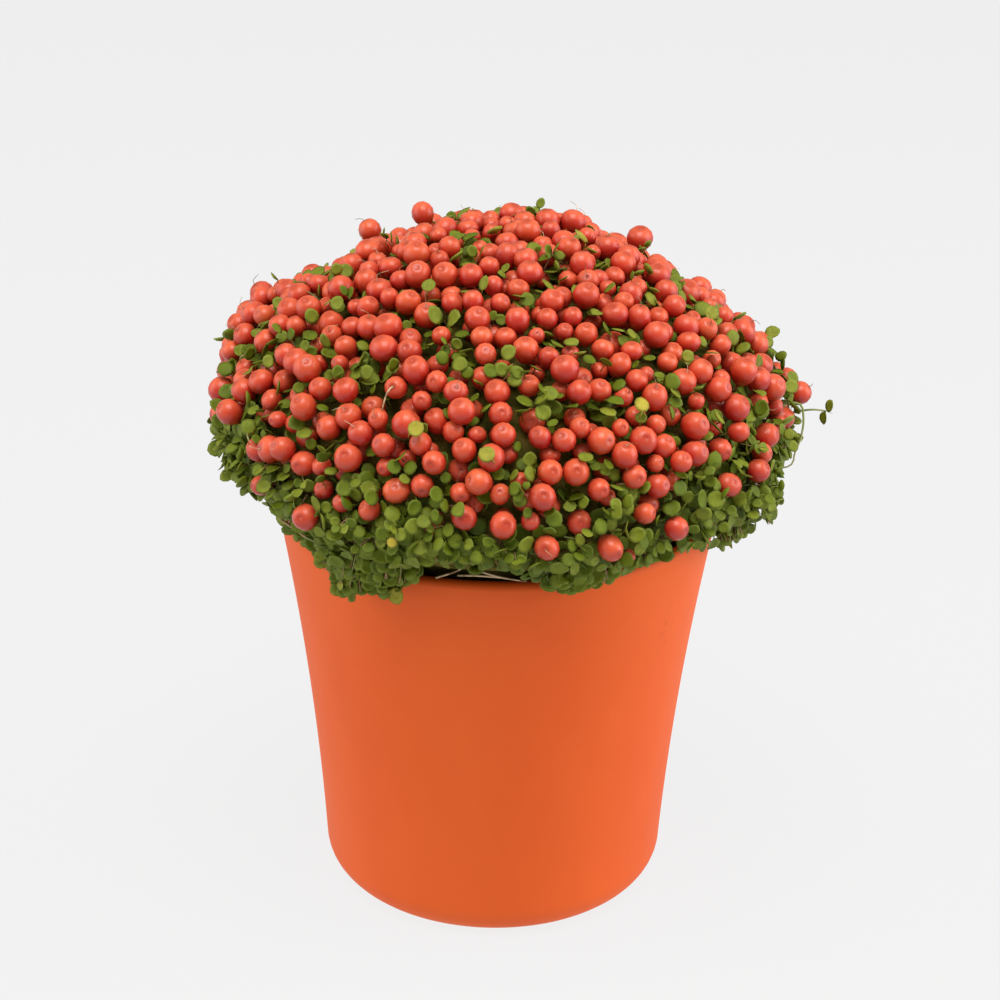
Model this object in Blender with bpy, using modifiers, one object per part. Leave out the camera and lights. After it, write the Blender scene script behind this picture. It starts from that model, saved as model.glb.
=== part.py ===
"""Coral bead plant in a plain cover pot, as faceted solids.

Metres, +Z up, the front towards -Y. The origin is the middle of the pot's flat underside.
A cushion of small round leaves fills the pot and bulges over its rim. Sprays of coral
berries lie on the cushion, and the leaves stand up between the berries.
"""
import math
import random
from collections import Counter
from dataclasses import dataclass

import bmesh
import bpy
from mathutils import Euler, Matrix, Vector
from mathutils.bvhtree import BVHTree

SEED = 29
GAP = 0.0003                      # kept between pieces that touch
MERGE = 0.00001                   # doubles closer than this are welded
GOLDEN_ANGLE = math.pi * (3 - math.sqrt(5))

# Cover pot: a flared wall on a round corner, with no lip
POT_HEIGHT = 0.105
POT_RIM_RADIUS = 0.056
POT_FOOT_RADIUS = 0.035
POT_CORNER_RADIUS = 0.0096
POT_FLARE = 0.51                  # share of the flare that grows with the height squared
POT_WALL = 0.0035
POT_SEGMENTS = 36
POT_WALL_SPANS = 4
POT_CORNER_SPANS = 4
POT_INSIDE_SPANS = 2

# Compost: fills the pot to a little under the rim
COMPOST_TOP = 0.0995
COMPOST_SEGMENTS = POT_SEGMENTS // 2

# Cushion core: half an ellipsoid above its waist, and a shallower one tucked in below
CORE_RADIUS = 0.067
CORE_WAIST = 0.1237
CORE_RISE = 0.045
CORE_DROP = 0.031
CORE_TUCK = math.radians(-32)     # rise where the underside turns in over the rim
CORE_NECK_RADIUS = 0.0495
CORE_SEGMENTS = 26
CORE_RINGS = 8
# Lumps of the cushion: azimuth and rise in degrees, lift in metres, spread in degrees
LUMPS = (
    (19, 43, -0.0050, 17),
    (0, 14, 0.0025, 12),
    (-12, -5, -0.0028, 9),
    (-29, -14, 0.0035, 15),
    (150, 51, -0.0050, 15),
    (173, 27, 0.0030, 11),
    (-176, 8, -0.0042, 12),
    (-156, -18, -0.0058, 16),
)

# Berries: clusters pressed face to face, joined by thin stalks into sprays
BERRY_RADIUS = 0.0031
BERRY_SPREAD = 0.0005             # how far a berry's radius strays from the mean
BERRY_FACET = 1.13                # corner radius of a 20-sided berry over its true radius
BERRY_NECK = 0.00015              # length of the neck between two pressed berries
BERRY_SLANT = 0.6                 # steepest step to the next berry, as a sine
BERRY_LIFT = 0.0030               # highest lift of a berry off the cushion
CLUSTER_COUNT = 72
CLUSTER_LOW = math.radians(-3)    # lowest rise of a cluster in front and behind
CLUSTER_SIDE_LOW = math.radians(8)   # and on the left and the right
CLUSTER_CROWDING = 1.12           # above 1 there are more clusters near the crown
# Berries in a cluster, by the least rise of its first one: fewer near the fringe
CLUSTER_SIZES = ((math.radians(18), 5), (math.radians(6), 3), (math.radians(-90), 1))
# Lone berries that stand out of the crown, and low ones among the leaves: azimuth, rise, lift
LONE_BERRIES = (
    (math.radians(147), math.radians(56.5), 0.0072),
    (math.radians(131), math.radians(65), 0.0050),
    (math.radians(52), math.radians(62), 0.0024),
    (math.radians(32), math.radians(55), 0.0044),
    (math.radians(84), math.radians(71), 0.0016),
    (math.radians(-81), math.radians(-4), 0.0004),
    (math.radians(-69), math.radians(-6), 0.0004),
    (math.radians(-55.5), math.radians(-3), 0.0012),
    (math.radians(-128), math.radians(-3), 0.0004),
    (math.radians(-89), math.radians(3.5), 0.0006),
    (math.radians(-96), math.radians(5), 0.0004),
    (math.radians(-114), math.radians(4), 0.0006),
    (math.radians(-42), math.radians(4.5), 0.0008),
)
CROWN_RISE = math.radians(57)     # clusters above this belong to the crown spray
SIDE_SPRAYS = 7
STALK_RADIUS = 0.00055
STALK_DROP = 0.0009               # a stalk runs this far under the berries' centres
STALK_REACH = 0.018               # longest stalk

# Leaves: a flat blade with a keel, on a three-sided stalk sunk in the cushion
LEAF_ROOT = 0.0026                # depth of a root, past the flats of the core
LEAF_STALK_RADIUS = 0.00045
LEAF_KEEL = 0.0007
LEAF_CUP = 0.8                    # lift of the blade's edges over the keel's depth
LEAF_WIDE = ((0.32, 0.47), (0.76, 0.42))   # along the blade, half width over the width
LEAF_TRIES = 10                   # places tried round a seed for each choice
LEAF_STRAY = math.radians(5)      # farthest of those places from the seed
LEAF_SPACING = 0.0040             # least distance between the middles of two blades
LEAF_NEAR = 2.4                   # blades this many lengths apart can't cross
# Foot of the fringe at the rim, how steeply it rises further out, and where it hangs
# lower or ends higher: azimuth, spread, drop
FRINGE_FOOT = 0.1050
FRINGE_SLOPE = 0.4
FRINGE_LOCKS = (
    (math.radians(-123), math.radians(8), 0.0065),
    (math.radians(-70), math.radians(6), 0.0030),
    (math.radians(-36), math.radians(10), 0.0020),
    (math.radians(-93), math.radians(13), -0.0030),
    (math.radians(-153), math.radians(9), -0.0045),
    (math.radians(-172), math.radians(16), -0.0040),
    (math.radians(40), math.radians(8), 0.0060),
    (math.radians(95), math.radians(9), 0.0040),
    (math.radians(150), math.radians(7), 0.0070),
)

# Stray stems on the right: a hanging loop, and a sprig that ends in a pair of leaves
STRAY_RADIUS = 0.00045
STRAY_LOOP = (
    (0.0650, -0.0050, 0.1310), (0.0738, -0.0050, 0.1325), (0.0754, -0.0062, 0.1290),
    (0.0750, -0.0070, 0.1242), (0.0738, -0.0070, 0.1203), (0.0720, -0.0070, 0.1162),
    (0.0600, -0.0060, 0.1150),
)
STRAY_SPRIG = ((0.0650, 0.0030, 0.1240), (0.0765, 0.0012, 0.1283), (0.0820, 0.0010, 0.1283))
STRAY_PAIR = ((0.45, -0.10, 0.90), (0.0, -0.10, -1.0))   # ways of the sprig's two leaves
STRAY_LEAF_LENGTH = 0.0052
STRAY_LEAF_WIDTH = 0.0042

CORAL = (0.78, 0.11, 0.055, 1.0)
GREEN = (0.12, 0.22, 0.035, 1.0)
ORANGE = (0.80, 0.13, 0.025, 1.0)
BROWN = (0.05, 0.03, 0.018, 1.0)


@dataclass
class LeafZone:
    """A band of the cushion and how its leaves grow."""

    count: int
    low: float                    # lowest and highest rise of a root, in degrees
    high: float
    spread: float                 # how far a blade's way strays from straight downhill
    lean: float                   # how far a stalk leans from straight out, as a tangent
    length: float
    width: float
    choices: tuple                # height over the root, bend and size of a blade, in turn


HANGING = LeafZone(58, -32, -20, 40, 0.25, 0.0072, 0.0068,
                   ((0.0028, 30, 1.05), (0.0024, 10, 0.95), (0.0022, -15, 0.9),
                    (0.0020, -40, 0.85)))
SKIRT = LeafZone(104, -20, 14, 60, 0.25, 0.0088, 0.0086,
                 ((0.0034, 68, 1.1), (0.0030, 60, 0.95), (0.0036, 48, 0.85),
                  (0.0030, 34, 0.75)))
CROWN = LeafZone(150, 14, 90, 180, 0.25, 0.0072, 0.0070,
                 ((0.0036, 76, 1.15), (0.0048, 66, 1.0), (0.0044, 52, 0.9), (0.0040, 34, 0.8),
                  (0.0040, 14, 0.75)))


@dataclass(eq=False)
class Berry:
    """One berry: centre, true radius, turn of its faces, outward direction, cluster."""

    centre: Vector
    radius: float
    turn: Matrix
    out: Vector
    cluster: int
    neck: tuple = ()              # the berry it is pressed on, and the face they share

    def placed(self, swell=0.0):
        """Placement of a unit ball as this berry, swollen by a margin."""
        size = BERRY_FACET * self.radius + swell
        return Matrix.Translation(self.centre) @ (self.turn * size).to_4x4()


def clear_scene():
    """Remove whatever the start-up file holds."""
    for thing in list(bpy.data.objects):
        bpy.data.objects.remove(thing, do_unlink=True)


def new_collection(name):
    """Add a collection to the scene."""
    group = bpy.data.collections.new(name)
    bpy.context.scene.collection.children.link(group)
    return group


def make_material(name, colour, roughness):
    """Make a Principled material of one colour."""
    material = bpy.data.materials.new(name)
    material.use_nodes = True
    shader = material.node_tree.nodes["Principled BSDF"]
    shader.inputs["Base Color"].default_value = colour
    shader.inputs["Roughness"].default_value = roughness
    shader.inputs["Metallic"].default_value = 0.0
    material.diffuse_color = colour
    return material


def object_from(bm, name, group):
    """Turn a bmesh into an object of a collection."""
    mesh = bpy.data.meshes.new(name)
    bm.to_mesh(mesh)
    bm.free()
    thing = bpy.data.objects.new(name, mesh)
    group.objects.link(thing)
    return thing


def turned(name, group, profile, segments):
    """Turn a profile of (radius, height) points round the Z axis with a Screw modifier."""
    bm = bmesh.new()
    points = [bm.verts.new((radius, 0.0, height)) for radius, height in profile]
    for start, end in zip(points, points[1:]):
        bm.edges.new((start, end))
    thing = object_from(bm, name, group)
    screw = thing.modifiers.new("Turn", 'SCREW')
    screw.axis = 'Z'
    screw.steps = segments
    screw.render_steps = segments
    screw.use_merge_vertices = True
    screw.merge_threshold = MERGE
    return thing


def evaluated_mesh(thing):
    """A new mesh of an object as its modifiers or its curve settings make it."""
    depsgraph = bpy.context.evaluated_depsgraph_get()
    return bpy.data.meshes.new_from_object(thing.evaluated_get(depsgraph))


def bake(thing):
    """Replace an object's mesh by its evaluated one and drop its modifiers."""
    mesh = evaluated_mesh(thing)
    thing.modifiers.clear()
    thing.data = mesh


def fuse(base, extras):
    """Join a collection's solids to a base solid and remove the collection."""
    union = base.modifiers.new("Fuse", 'BOOLEAN')
    union.operation = 'UNION'
    union.solver = 'EXACT'
    union.operand_type = 'COLLECTION'
    union.collection = extras
    bake(base)
    for thing in list(extras.objects):
        bpy.data.objects.remove(thing, do_unlink=True)
    bpy.data.collections.remove(extras)


def arc(centre_radius, centre_height, radius, start, end, spans):
    """Points of a circular arc in the (radius, height) plane, both ends included."""
    turns = [start + (end - start) * step / spans for step in range(spans + 1)]
    return [(centre_radius + radius * math.cos(turn), centre_height + radius * math.sin(turn))
            for turn in turns]


def wall_radius(height):
    """Outer radius of the pot's wall at a height above its round corner."""
    low = POT_FOOT_RADIUS + POT_CORNER_RADIUS
    share = (height - POT_CORNER_RADIUS) / (POT_HEIGHT - POT_CORNER_RADIUS)
    return low + (POT_RIM_RADIUS - low) * ((1 - POT_FLARE) * share + POT_FLARE * share ** 2)


def inner_profile(top, clearance):
    """Inside of the pot from its floor's edge up to a height, drawn in by a clearance."""
    offset = POT_WALL + clearance
    corner = arc(POT_FOOT_RADIUS, POT_CORNER_RADIUS, POT_CORNER_RADIUS - offset,
                 -math.pi / 2, 0.0, POT_INSIDE_SPANS)
    step = (top - POT_CORNER_RADIUS) / POT_INSIDE_SPANS
    heights = [POT_CORNER_RADIUS + step * span for span in range(1, POT_INSIDE_SPANS + 1)]
    return corner + [(wall_radius(height) - offset, height) for height in heights]


def make_pot(group):
    """Turn the cover pot: inside up, over the round rim, and down the outside."""
    half = POT_WALL / 2
    rim_base = POT_HEIGHT - half
    inside = [(0.0, POT_WALL)] + inner_profile(rim_base, 0.0)
    rim = [(wall_radius(rim_base) - half, POT_HEIGHT)]
    drop = rim_base - POT_CORNER_RADIUS
    heights = [rim_base - drop * step / POT_WALL_SPANS for step in range(POT_WALL_SPANS)]
    outside = [(wall_radius(height), height) for height in heights]
    corner = arc(POT_FOOT_RADIUS, POT_CORNER_RADIUS, POT_CORNER_RADIUS,
                 0.0, -math.pi / 2, POT_CORNER_SPANS)
    profile = inside + rim + outside + corner + [(0.0, 0.0)]
    return turned("cover_pot", group, profile, POT_SEGMENTS)


def make_compost(group):
    """Turn the compost that fills the pot, a gap clear of its inside."""
    wall = inner_profile(COMPOST_TOP, GAP)
    profile = [(0.0, COMPOST_TOP)] + wall[::-1] + [(0.0, POT_WALL + GAP)]
    return turned("compost", group, profile, COMPOST_SEGMENTS)


def heading(rise, azimuth):
    """Unit vector for a rise above the waist and an azimuth from +X."""
    flat = math.cos(rise)
    return Vector((flat * math.cos(azimuth), flat * math.sin(azimuth), math.sin(rise)))


def lump_lift(rise, azimuth):
    """How far the cushion's lumps push its surface out in a direction."""
    way = heading(rise, azimuth)
    lift = 0.0
    for lump_azimuth, lump_rise, height, spread in LUMPS:
        apart = way.angle(heading(math.radians(lump_rise), math.radians(lump_azimuth)))
        lift += height * math.exp(-(apart / math.radians(spread)) ** 2)
    return lift


def core_height(rise):
    """Half height of the core's ellipsoid, above or below its waist."""
    return CORE_RISE if rise > 0 else CORE_DROP


def surface(rise, azimuth, lift=0.0):
    """Point over the cushion core and the outward direction there."""
    across = math.cos(rise) / CORE_RADIUS
    out = Vector((across * math.cos(azimuth), across * math.sin(azimuth),
                  math.sin(rise) / core_height(rise))).normalized()
    flat = CORE_RADIUS * math.cos(rise)
    point = Vector((flat * math.cos(azimuth), flat * math.sin(azimuth),
                    CORE_WAIST + core_height(rise) * math.sin(rise)))
    return point + out * (lump_lift(rise, azimuth) + lift), out


def direction_of(point, lift=0.0):
    """Rise and azimuth of a point that floats about a lift over the core."""
    flat = math.hypot(point.x, point.y) / (CORE_RADIUS + lift)
    up = point.z - CORE_WAIST
    return math.atan2(up / (core_height(up) + lift), flat), math.atan2(point.y, point.x)


def make_core(group):
    """Turn the cushion's core, then push its skin out by the lumps."""
    step = (CORE_TUCK - math.pi / 2) / CORE_RINGS
    rises = [math.pi / 2 + step * ring for ring in range(CORE_RINGS + 1)]
    skin = [(CORE_RADIUS * math.cos(rise), CORE_WAIST + core_height(rise) * math.sin(rise))
            for rise in rises]
    skin[0] = (0.0, skin[0][1])
    neck_top = skin[-1][1] - GAP
    foot = COMPOST_TOP + GAP
    neck = [(CORE_NECK_RADIUS, neck_top), (CORE_NECK_RADIUS, foot), (0.0, foot)]
    core = turned("leaf_cushion", group, skin + neck, CORE_SEGMENTS)
    bake(core)
    for vertex in core.data.vertices:
        if vertex.co.z > neck_top + MERGE:
            vertex.co = surface(*direction_of(vertex.co))[0]
    return core


def ball_faces():
    """Normals and inner radius of a 20-sided ball of unit corner radius."""
    bm = bmesh.new()
    bmesh.ops.create_icosphere(bm, subdivisions=1, radius=1.0)
    bm.normal_update()
    bm.faces.ensure_lookup_table()
    normals = [face.normal.copy() for face in bm.faces]
    inner = bm.faces[0].calc_center_median().length
    bm.free()
    return normals, inner


def cluster_size(rise):
    """How many berries a cluster holds, by the rise of its first one."""
    return next(size for floor, size in CLUSTER_SIZES if rise > floor)


def spray_of(rise, azimuth):
    """Number of the spray that a cluster belongs to: 0 is the crown."""
    if rise > CROWN_RISE:
        return 0
    return 1 + int((azimuth % math.tau) / math.tau * SIDE_SPRAYS)


def lowest_rise(azimuth):
    """Rise below which no cluster grows at an azimuth: higher on the left and the right."""
    return CLUSTER_LOW + (CLUSTER_SIDE_LOW - CLUSTER_LOW) * math.cos(azimuth) ** 2


def cluster_seeds():
    """Azimuth, rise and lift of each cluster's first berry, in an even spiral."""
    seeds = list(LONE_BERRIES)
    for index in range(CLUSTER_COUNT):
        share = ((index + 0.5) / CLUSTER_COUNT) ** CLUSTER_CROWDING
        rise = math.asin(1 - (1 - math.sin(CLUSTER_LOW)) * share)
        azimuth = math.remainder(index * GOLDEN_ANGLE, math.tau)
        if rise >= lowest_rise(azimuth):
            seeds.append((azimuth, rise, None))
    return seeds


def random_radius(rng):
    """Radius of a new berry."""
    return BERRY_RADIUS + rng.uniform(-BERRY_SPREAD, BERRY_SPREAD)


def room_round(centre, radius, others):
    """Least clearance between a berry to be and the other berries' corners."""
    return min((centre - other.centre).length - BERRY_FACET * (radius + other.radius)
               for other in others)


def segment_distance(point, start, end):
    """Distance from a point to a straight segment."""
    along = end - start
    share = max(0.0, min(1.0, (point - start).dot(along) / along.length_squared))
    return (point - start - along * share).length


def clears_strays(centre, radius):
    """Whether a berry keeps clear of the stray stems."""
    reach = BERRY_FACET * radius + STRAY_RADIUS + 2 * GAP
    return all(segment_distance(centre, Vector(start), Vector(end)) > reach
               for path in (STRAY_LOOP, STRAY_SPRIG) for start, end in zip(path, path[1:]))


def press_on(rng, members, berries, core_tree, faces):
    """Press a new berry face to face on one of a cluster's, where there is most room."""
    normals, inner = faces
    radius = random_radius(rng)
    best, best_room = None, GAP
    for parent in members:
        others = [berry for berry in berries if berry is not parent]
        step = inner * BERRY_FACET * (parent.radius + radius) + BERRY_NECK
        for face, normal in enumerate(normals):
            way = parent.turn @ normal
            if abs(way.dot(parent.out)) > BERRY_SLANT:
                continue
            centre = parent.centre + way * step
            rise, azimuth = direction_of(centre, BERRY_RADIUS)
            height = core_tree.find_nearest(centre)[3] - BERRY_FACET * radius
            room = room_round(centre, radius, others)
            if (room > best_room and rise > lowest_rise(azimuth)
                    and GAP < height < BERRY_LIFT and clears_strays(centre, radius)):
                mirror = Matrix.Identity(3) - 2 * Matrix([way * part for part in way])
                best = Berry(centre, radius, mirror @ parent.turn,
                             surface(rise, azimuth)[1], parent.cluster, (parent, face))
                best_room = room
    return best


def start_clusters(rng, seeds):
    """Place the first berry of each cluster that has room."""
    clusters = []
    for number, (azimuth, rise, lift) in enumerate(seeds):
        radius = random_radius(rng)
        if lift is None:
            lift = rng.uniform(0.0, BERRY_LIFT / 2)
        centre, out = surface(rise, azimuth, BERRY_FACET * radius + GAP + lift)
        turn = Euler([rng.uniform(0.0, math.tau) for _ in range(3)]).to_matrix()
        berries = [berry for members in clusters for berry in members]
        has_room = not berries or room_round(centre, radius, berries) > GAP
        if has_room and clears_strays(centre, radius):
            clusters.append([Berry(centre, radius, turn, out, number)])
    return clusters


def place_berries(rng, core_tree):
    """Place the berries in pressed clusters, and give each cluster's spray number."""
    seeds = cluster_seeds()
    clusters = start_clusters(rng, seeds)
    faces = ball_faces()
    largest = CLUSTER_SIZES[0][1]
    for size in range(2, largest + 1):
        for members in clusters:
            _, rise, lift = seeds[members[0].cluster]
            if lift is None and size <= cluster_size(rise):
                berries = [berry for others in clusters for berry in others]
                berry = press_on(rng, members, berries, core_tree, faces)
                members.extend([berry] if berry else [])
    berries = [berry for members in clusters for berry in members]
    return berries, [spray_of(rise, azimuth) for azimuth, rise, _ in seeds]


def stalk_between(one, other):
    """Ends of the stalk that joins two berries, a little under their centres."""
    return (one.centre - one.out * STALK_DROP, other.centre - other.out * STALK_DROP)


def stalk_is_clear(ends, spray, berries, sprays):
    """Whether a stalk keeps clear of the berries of every other spray."""
    for berry in berries:
        clearance = BERRY_FACET * berry.radius + STALK_RADIUS + 2 * GAP
        other_spray = sprays[berry.cluster] != spray
        if other_spray and segment_distance(berry.centre, *ends) < clearance:
            return False
    return True


def link_spray(spray, berries, sprays):
    """Join a spray's clusters, nearest first; return its berries and stalks."""
    members = [berry for berry in berries if sprays[berry.cluster] == spray]
    joined = {Counter(berry.cluster for berry in members).most_common(1)[0][0]}
    stalks = []
    while True:
        pairs = [((one.centre - other.centre).length, index, place)
                 for index, one in enumerate(members) if one.cluster in joined
                 for place, other in enumerate(members) if other.cluster not in joined]
        for apart, index, place in sorted(pairs):
            ends = stalk_between(members[index], members[place])
            if apart < STALK_REACH and stalk_is_clear(ends, spray, berries, sprays):
                stalks.append(ends)
                joined.add(members[place].cluster)
                break
        else:
            break
    return [berry for berry in members if berry.cluster in joined], stalks


def cluster_mesh(members):
    """One closed solid of berries pressed face to face, with a short neck at each joint."""
    bm = bmesh.new()
    faces = {}
    for berry in members:
        bmesh.ops.create_icosphere(bm, subdivisions=1, radius=1.0, matrix=berry.placed())
        bm.faces.ensure_lookup_table()
        faces[berry] = bm.faces[-20:]
    for berry in members:
        if berry.neck:
            parent, face = berry.neck
            ends = [faces[parent][face], faces[berry][face]]
            rim = [edge for end in ends for edge in end.edges]
            bmesh.ops.delete(bm, geom=ends, context='FACES_ONLY')
            bmesh.ops.bridge_loops(bm, edges=rim)
    bmesh.ops.triangulate(bm, faces=bm.faces)
    bmesh.ops.recalc_face_normals(bm, faces=bm.faces)
    return bm


def add_stalk(bm, ends, swell=0.0):
    """Add a three-sided stalk between two points to a bmesh."""
    along = ends[1] - ends[0]
    place = Matrix.Translation((ends[0] + ends[1]) / 2)
    place @= along.to_track_quat('Z', 'X').to_matrix().to_4x4()
    radius = STALK_RADIUS + swell
    bmesh.ops.create_cone(bm, cap_ends=True, segments=3, radius1=radius, radius2=radius,
                          depth=along.length, matrix=place)


def make_spray(number, members, stalks, group):
    """Fuse a spray's clusters and stalks into one coral solid."""
    extras = new_collection("spray_pieces")
    clusters = sorted({berry.cluster for berry in members})
    solids = [cluster_mesh([berry for berry in members if berry.cluster == cluster])
              for cluster in clusters]
    spray = object_from(solids[0], f"berry_spray_{number}", group)
    for solid in solids[1:]:
        object_from(solid, "cluster", extras)
    for ends in stalks:
        bm = bmesh.new()
        add_stalk(bm, ends)
        object_from(bm, "stalk", extras)
    fuse(spray, extras)
    return spray


def coral_shield(linked):
    """Search tree of every berry and stalk, swollen by the gap that leaves keep to them."""
    bm = bmesh.new()
    for members, stalks in linked:
        for berry in members:
            bmesh.ops.create_icosphere(bm, subdivisions=1, radius=1.0,
                                       matrix=berry.placed(1.3 * GAP))
        for ends in stalks:
            add_stalk(bm, ends, 2 * GAP)
    shield = BVHTree.FromBMesh(bm)
    bm.free()
    return shield


def leaf_mesh(root, pose, height, zone, size=1.0):
    """Loft a leaf from three-sided sections: a thin root, then a flat blade with a keel."""
    axis, side, lay, face = pose
    length, width = zone.length * size, zone.width * size
    top = root + axis * height
    stations = [(root - axis * LEAF_ROOT, LEAF_STALK_RADIUS, LEAF_STALK_RADIUS,
                 axis.cross(side))]
    for along, half in LEAF_WIDE:
        stations.append((top + lay * along * length, half * width, LEAF_KEEL, -face))
    bm = bmesh.new()
    rings = []
    for middle, half, keel, down in stations:
        edge = middle - down * keel * LEAF_CUP
        rings.append([bm.verts.new(edge + side * half), bm.verts.new(edge - side * half),
                      bm.verts.new(middle + down * keel)])
    tip = bm.verts.new(top + lay * length + face * LEAF_KEEL * LEAF_CUP)
    bm.faces.new(rings[0])
    for near in range(3):
        far = (near + 1) % 3
        for low, high in zip(rings, rings[1:]):
            bm.faces.new((low[near], high[near], high[far], low[far]))
        bm.faces.new((rings[-1][near], tip, rings[-1][far]))
    bmesh.ops.triangulate(bm, faces=bm.faces)
    bmesh.ops.recalc_face_normals(bm, faces=bm.faces)
    return bm


def leaf_pose(rng, out, spread, lean, bend):
    """Directions of a leaf: stalk, sideways, blade, and the way its upper face looks.

    The stalk leans from the outward direction at random, and the blade bends downhill.
    """
    level = Vector((0.0, 0.0, 1.0)).cross(out)
    level = level.normalized() if level.length > MERGE else Vector((1.0, 0.0, 0.0))
    uphill = out.cross(level)
    turn = rng.uniform(-spread, spread)
    back = uphill * math.cos(turn) + level * math.sin(turn)
    tilt = rng.uniform(0.0, math.tau)
    axis = (out + (uphill * math.cos(tilt) + level * math.sin(tilt)) * lean).normalized()
    side = axis.cross(back).normalized()
    back = side.cross(axis)
    lay = axis * math.cos(bend) - back * math.sin(bend)
    face = back * math.cos(bend) + axis * math.sin(bend)
    return axis, side, lay, face


def fringe_foot(azimuth, reach):
    """Height of the fringe's foot at an azimuth and a distance from the pot's axis."""
    height = FRINGE_FOOT + FRINGE_SLOPE * max(0.0, reach - POT_RIM_RADIUS)
    for middle, spread, drop in FRINGE_LOCKS:
        apart = math.remainder(azimuth - middle, math.tau)
        height -= drop * math.exp(-(apart / spread) ** 2)
    return height


def clears_rim(bm):
    """Whether a leaf keeps clear of the pot's rim and ends above the fringe's foot."""
    for vertex in bm.verts:
        flat = math.hypot(vertex.co.x, vertex.co.y)
        if vertex.co.z < POT_HEIGHT + 2 * GAP and flat < POT_RIM_RADIUS + 2 * GAP:
            return False
        if vertex.co.z < fringe_foot(math.atan2(vertex.co.y, vertex.co.x), flat):
            return False
    return True


def leaf_seeds(zone):
    """Rise and azimuth where each leaf of a zone should root, in an even spiral."""
    low, high = math.sin(math.radians(zone.low)), math.sin(math.radians(zone.high))
    rises = [math.asin(low + (high - low) * (index + 0.5) / zone.count)
             for index in range(zone.count)]
    return [(rise, math.remainder(index * GOLDEN_ANGLE, math.tau))
            for index, rise in enumerate(rises)]


def try_leaf(rng, zone, choice, seed, stray, shield, placed):
    """Try a leaf near its seed; return its mesh, search tree and middle, or None."""
    height, bend, size = choice
    rise = seed[0] + rng.uniform(-stray, stray)
    azimuth = seed[1] + rng.uniform(-stray, stray) / max(math.cos(rise), stray)
    root, out = surface(rise, azimuth)
    pose = leaf_pose(rng, out, math.radians(zone.spread), rng.uniform(0.0, zone.lean),
                     math.radians(bend))
    middle = root + pose[0] * height + pose[2] * 0.5 * size * zone.length
    if any((spot - middle).length < LEAF_SPACING for spot, _ in placed):
        return None
    bm = leaf_mesh(root, pose, height, zone, size)
    tree = BVHTree.FromBMesh(bm)
    reach = LEAF_NEAR * zone.length
    near = [other for spot, other in placed if (spot - middle).length < reach]
    if (clears_rim(bm) and not tree.overlap(shield)
            and not any(tree.overlap(other) for other in near)):
        return bm, tree, middle
    bm.free()
    return None


def grow_leaf(rng, zone, seed, shield, placed):
    """Grow the largest leaf that has room near a seed, or none."""
    for choice in zone.choices:
        for attempt in range(LEAF_TRIES):
            stray = LEAF_STRAY * attempt / LEAF_TRIES
            leaf = try_leaf(rng, zone, choice, seed, stray, shield, placed)
            if leaf:
                return leaf
    return None


def add_leaves(rng, shield, extras):
    """Grow the leaves zone by zone into a collection; return how many there are."""
    placed = []
    for zone in (HANGING, SKIRT, CROWN):
        for seed in leaf_seeds(zone):
            leaf = grow_leaf(rng, zone, seed, shield, placed)
            if leaf:
                bm, tree, middle = leaf
                object_from(bm, "leaf", extras)
                placed.append((middle, tree))
    return len(placed)


def add_stem(path, extras):
    """Add a stray stem: a square tube on a curve, made a mesh with welded caps."""
    curve = bpy.data.curves.new("stem", 'CURVE')
    curve.dimensions = '3D'
    curve.bevel_depth = STRAY_RADIUS
    curve.bevel_resolution = 0
    curve.use_fill_caps = True
    spline = curve.splines.new('POLY')
    spline.points.add(len(path) - 1)
    for point, place in zip(spline.points, path):
        point.co = (*place, 1.0)
    guide = bpy.data.objects.new("stem_path", curve)
    extras.objects.link(guide)
    bm = bmesh.new()
    bm.from_mesh(evaluated_mesh(guide))
    bpy.data.objects.remove(guide, do_unlink=True)
    bmesh.ops.remove_doubles(bm, verts=bm.verts, dist=MERGE)
    bmesh.ops.triangulate(bm, faces=bm.faces)
    bmesh.ops.recalc_face_normals(bm, faces=bm.faces)
    object_from(bm, "stem", extras)


def add_strays(extras):
    """Add the stray stems on the right, and the pair of leaves at the sprig's tip."""
    add_stem(STRAY_LOOP, extras)
    add_stem(STRAY_SPRIG, extras)
    tip = Vector(STRAY_SPRIG[-1])
    way = (tip - Vector(STRAY_SPRIG[-2])).normalized()
    pair = LeafZone(2, 0, 0, 0, 0, STRAY_LEAF_LENGTH, STRAY_LEAF_WIDTH, ())
    for direction in STRAY_PAIR:
        lay = Vector(direction).normalized()
        face = (way - lay * way.dot(lay)).normalized()
        pose = (lay, lay.cross(face), lay, face)
        root = tip - way * STRAY_RADIUS + lay * (LEAF_ROOT - STRAY_RADIUS)
        object_from(leaf_mesh(root, pose, 0.0, pair), "leaf", extras)


def main():
    """Build every piece."""
    clear_scene()
    parts = new_collection("coral_bead_plant")
    rng = random.Random(SEED)
    make_pot(parts).data.materials.append(make_material("pot_orange", ORANGE, 0.5))
    make_compost(parts).data.materials.append(make_material("compost_brown", BROWN, 0.95))
    core = make_core(parts)
    core.data.materials.append(make_material("leaf_green", GREEN, 0.6))
    core_tree = BVHTree.FromPolygons([vertex.co for vertex in core.data.vertices],
                                     [face.vertices for face in core.data.polygons])
    berries, sprays = place_berries(rng, core_tree)
    linked = [link_spray(number, berries, sprays) for number in range(SIDE_SPRAYS + 1)]
    coral = make_material("berry_coral", CORAL, 0.35)
    for number, (members, stalks) in enumerate(linked):
        make_spray(number, members, stalks, parts).data.materials.append(coral)
    leaves = new_collection("leaves")
    leaf_count = add_leaves(rng, coral_shield(linked), leaves)
    add_strays(leaves)
    fuse(core, leaves)
    print("berries", [len(members) for members, _ in linked], "stalks",
          sum(len(stalks) for _, stalks in linked), "leaves", leaf_count)


main()
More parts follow.
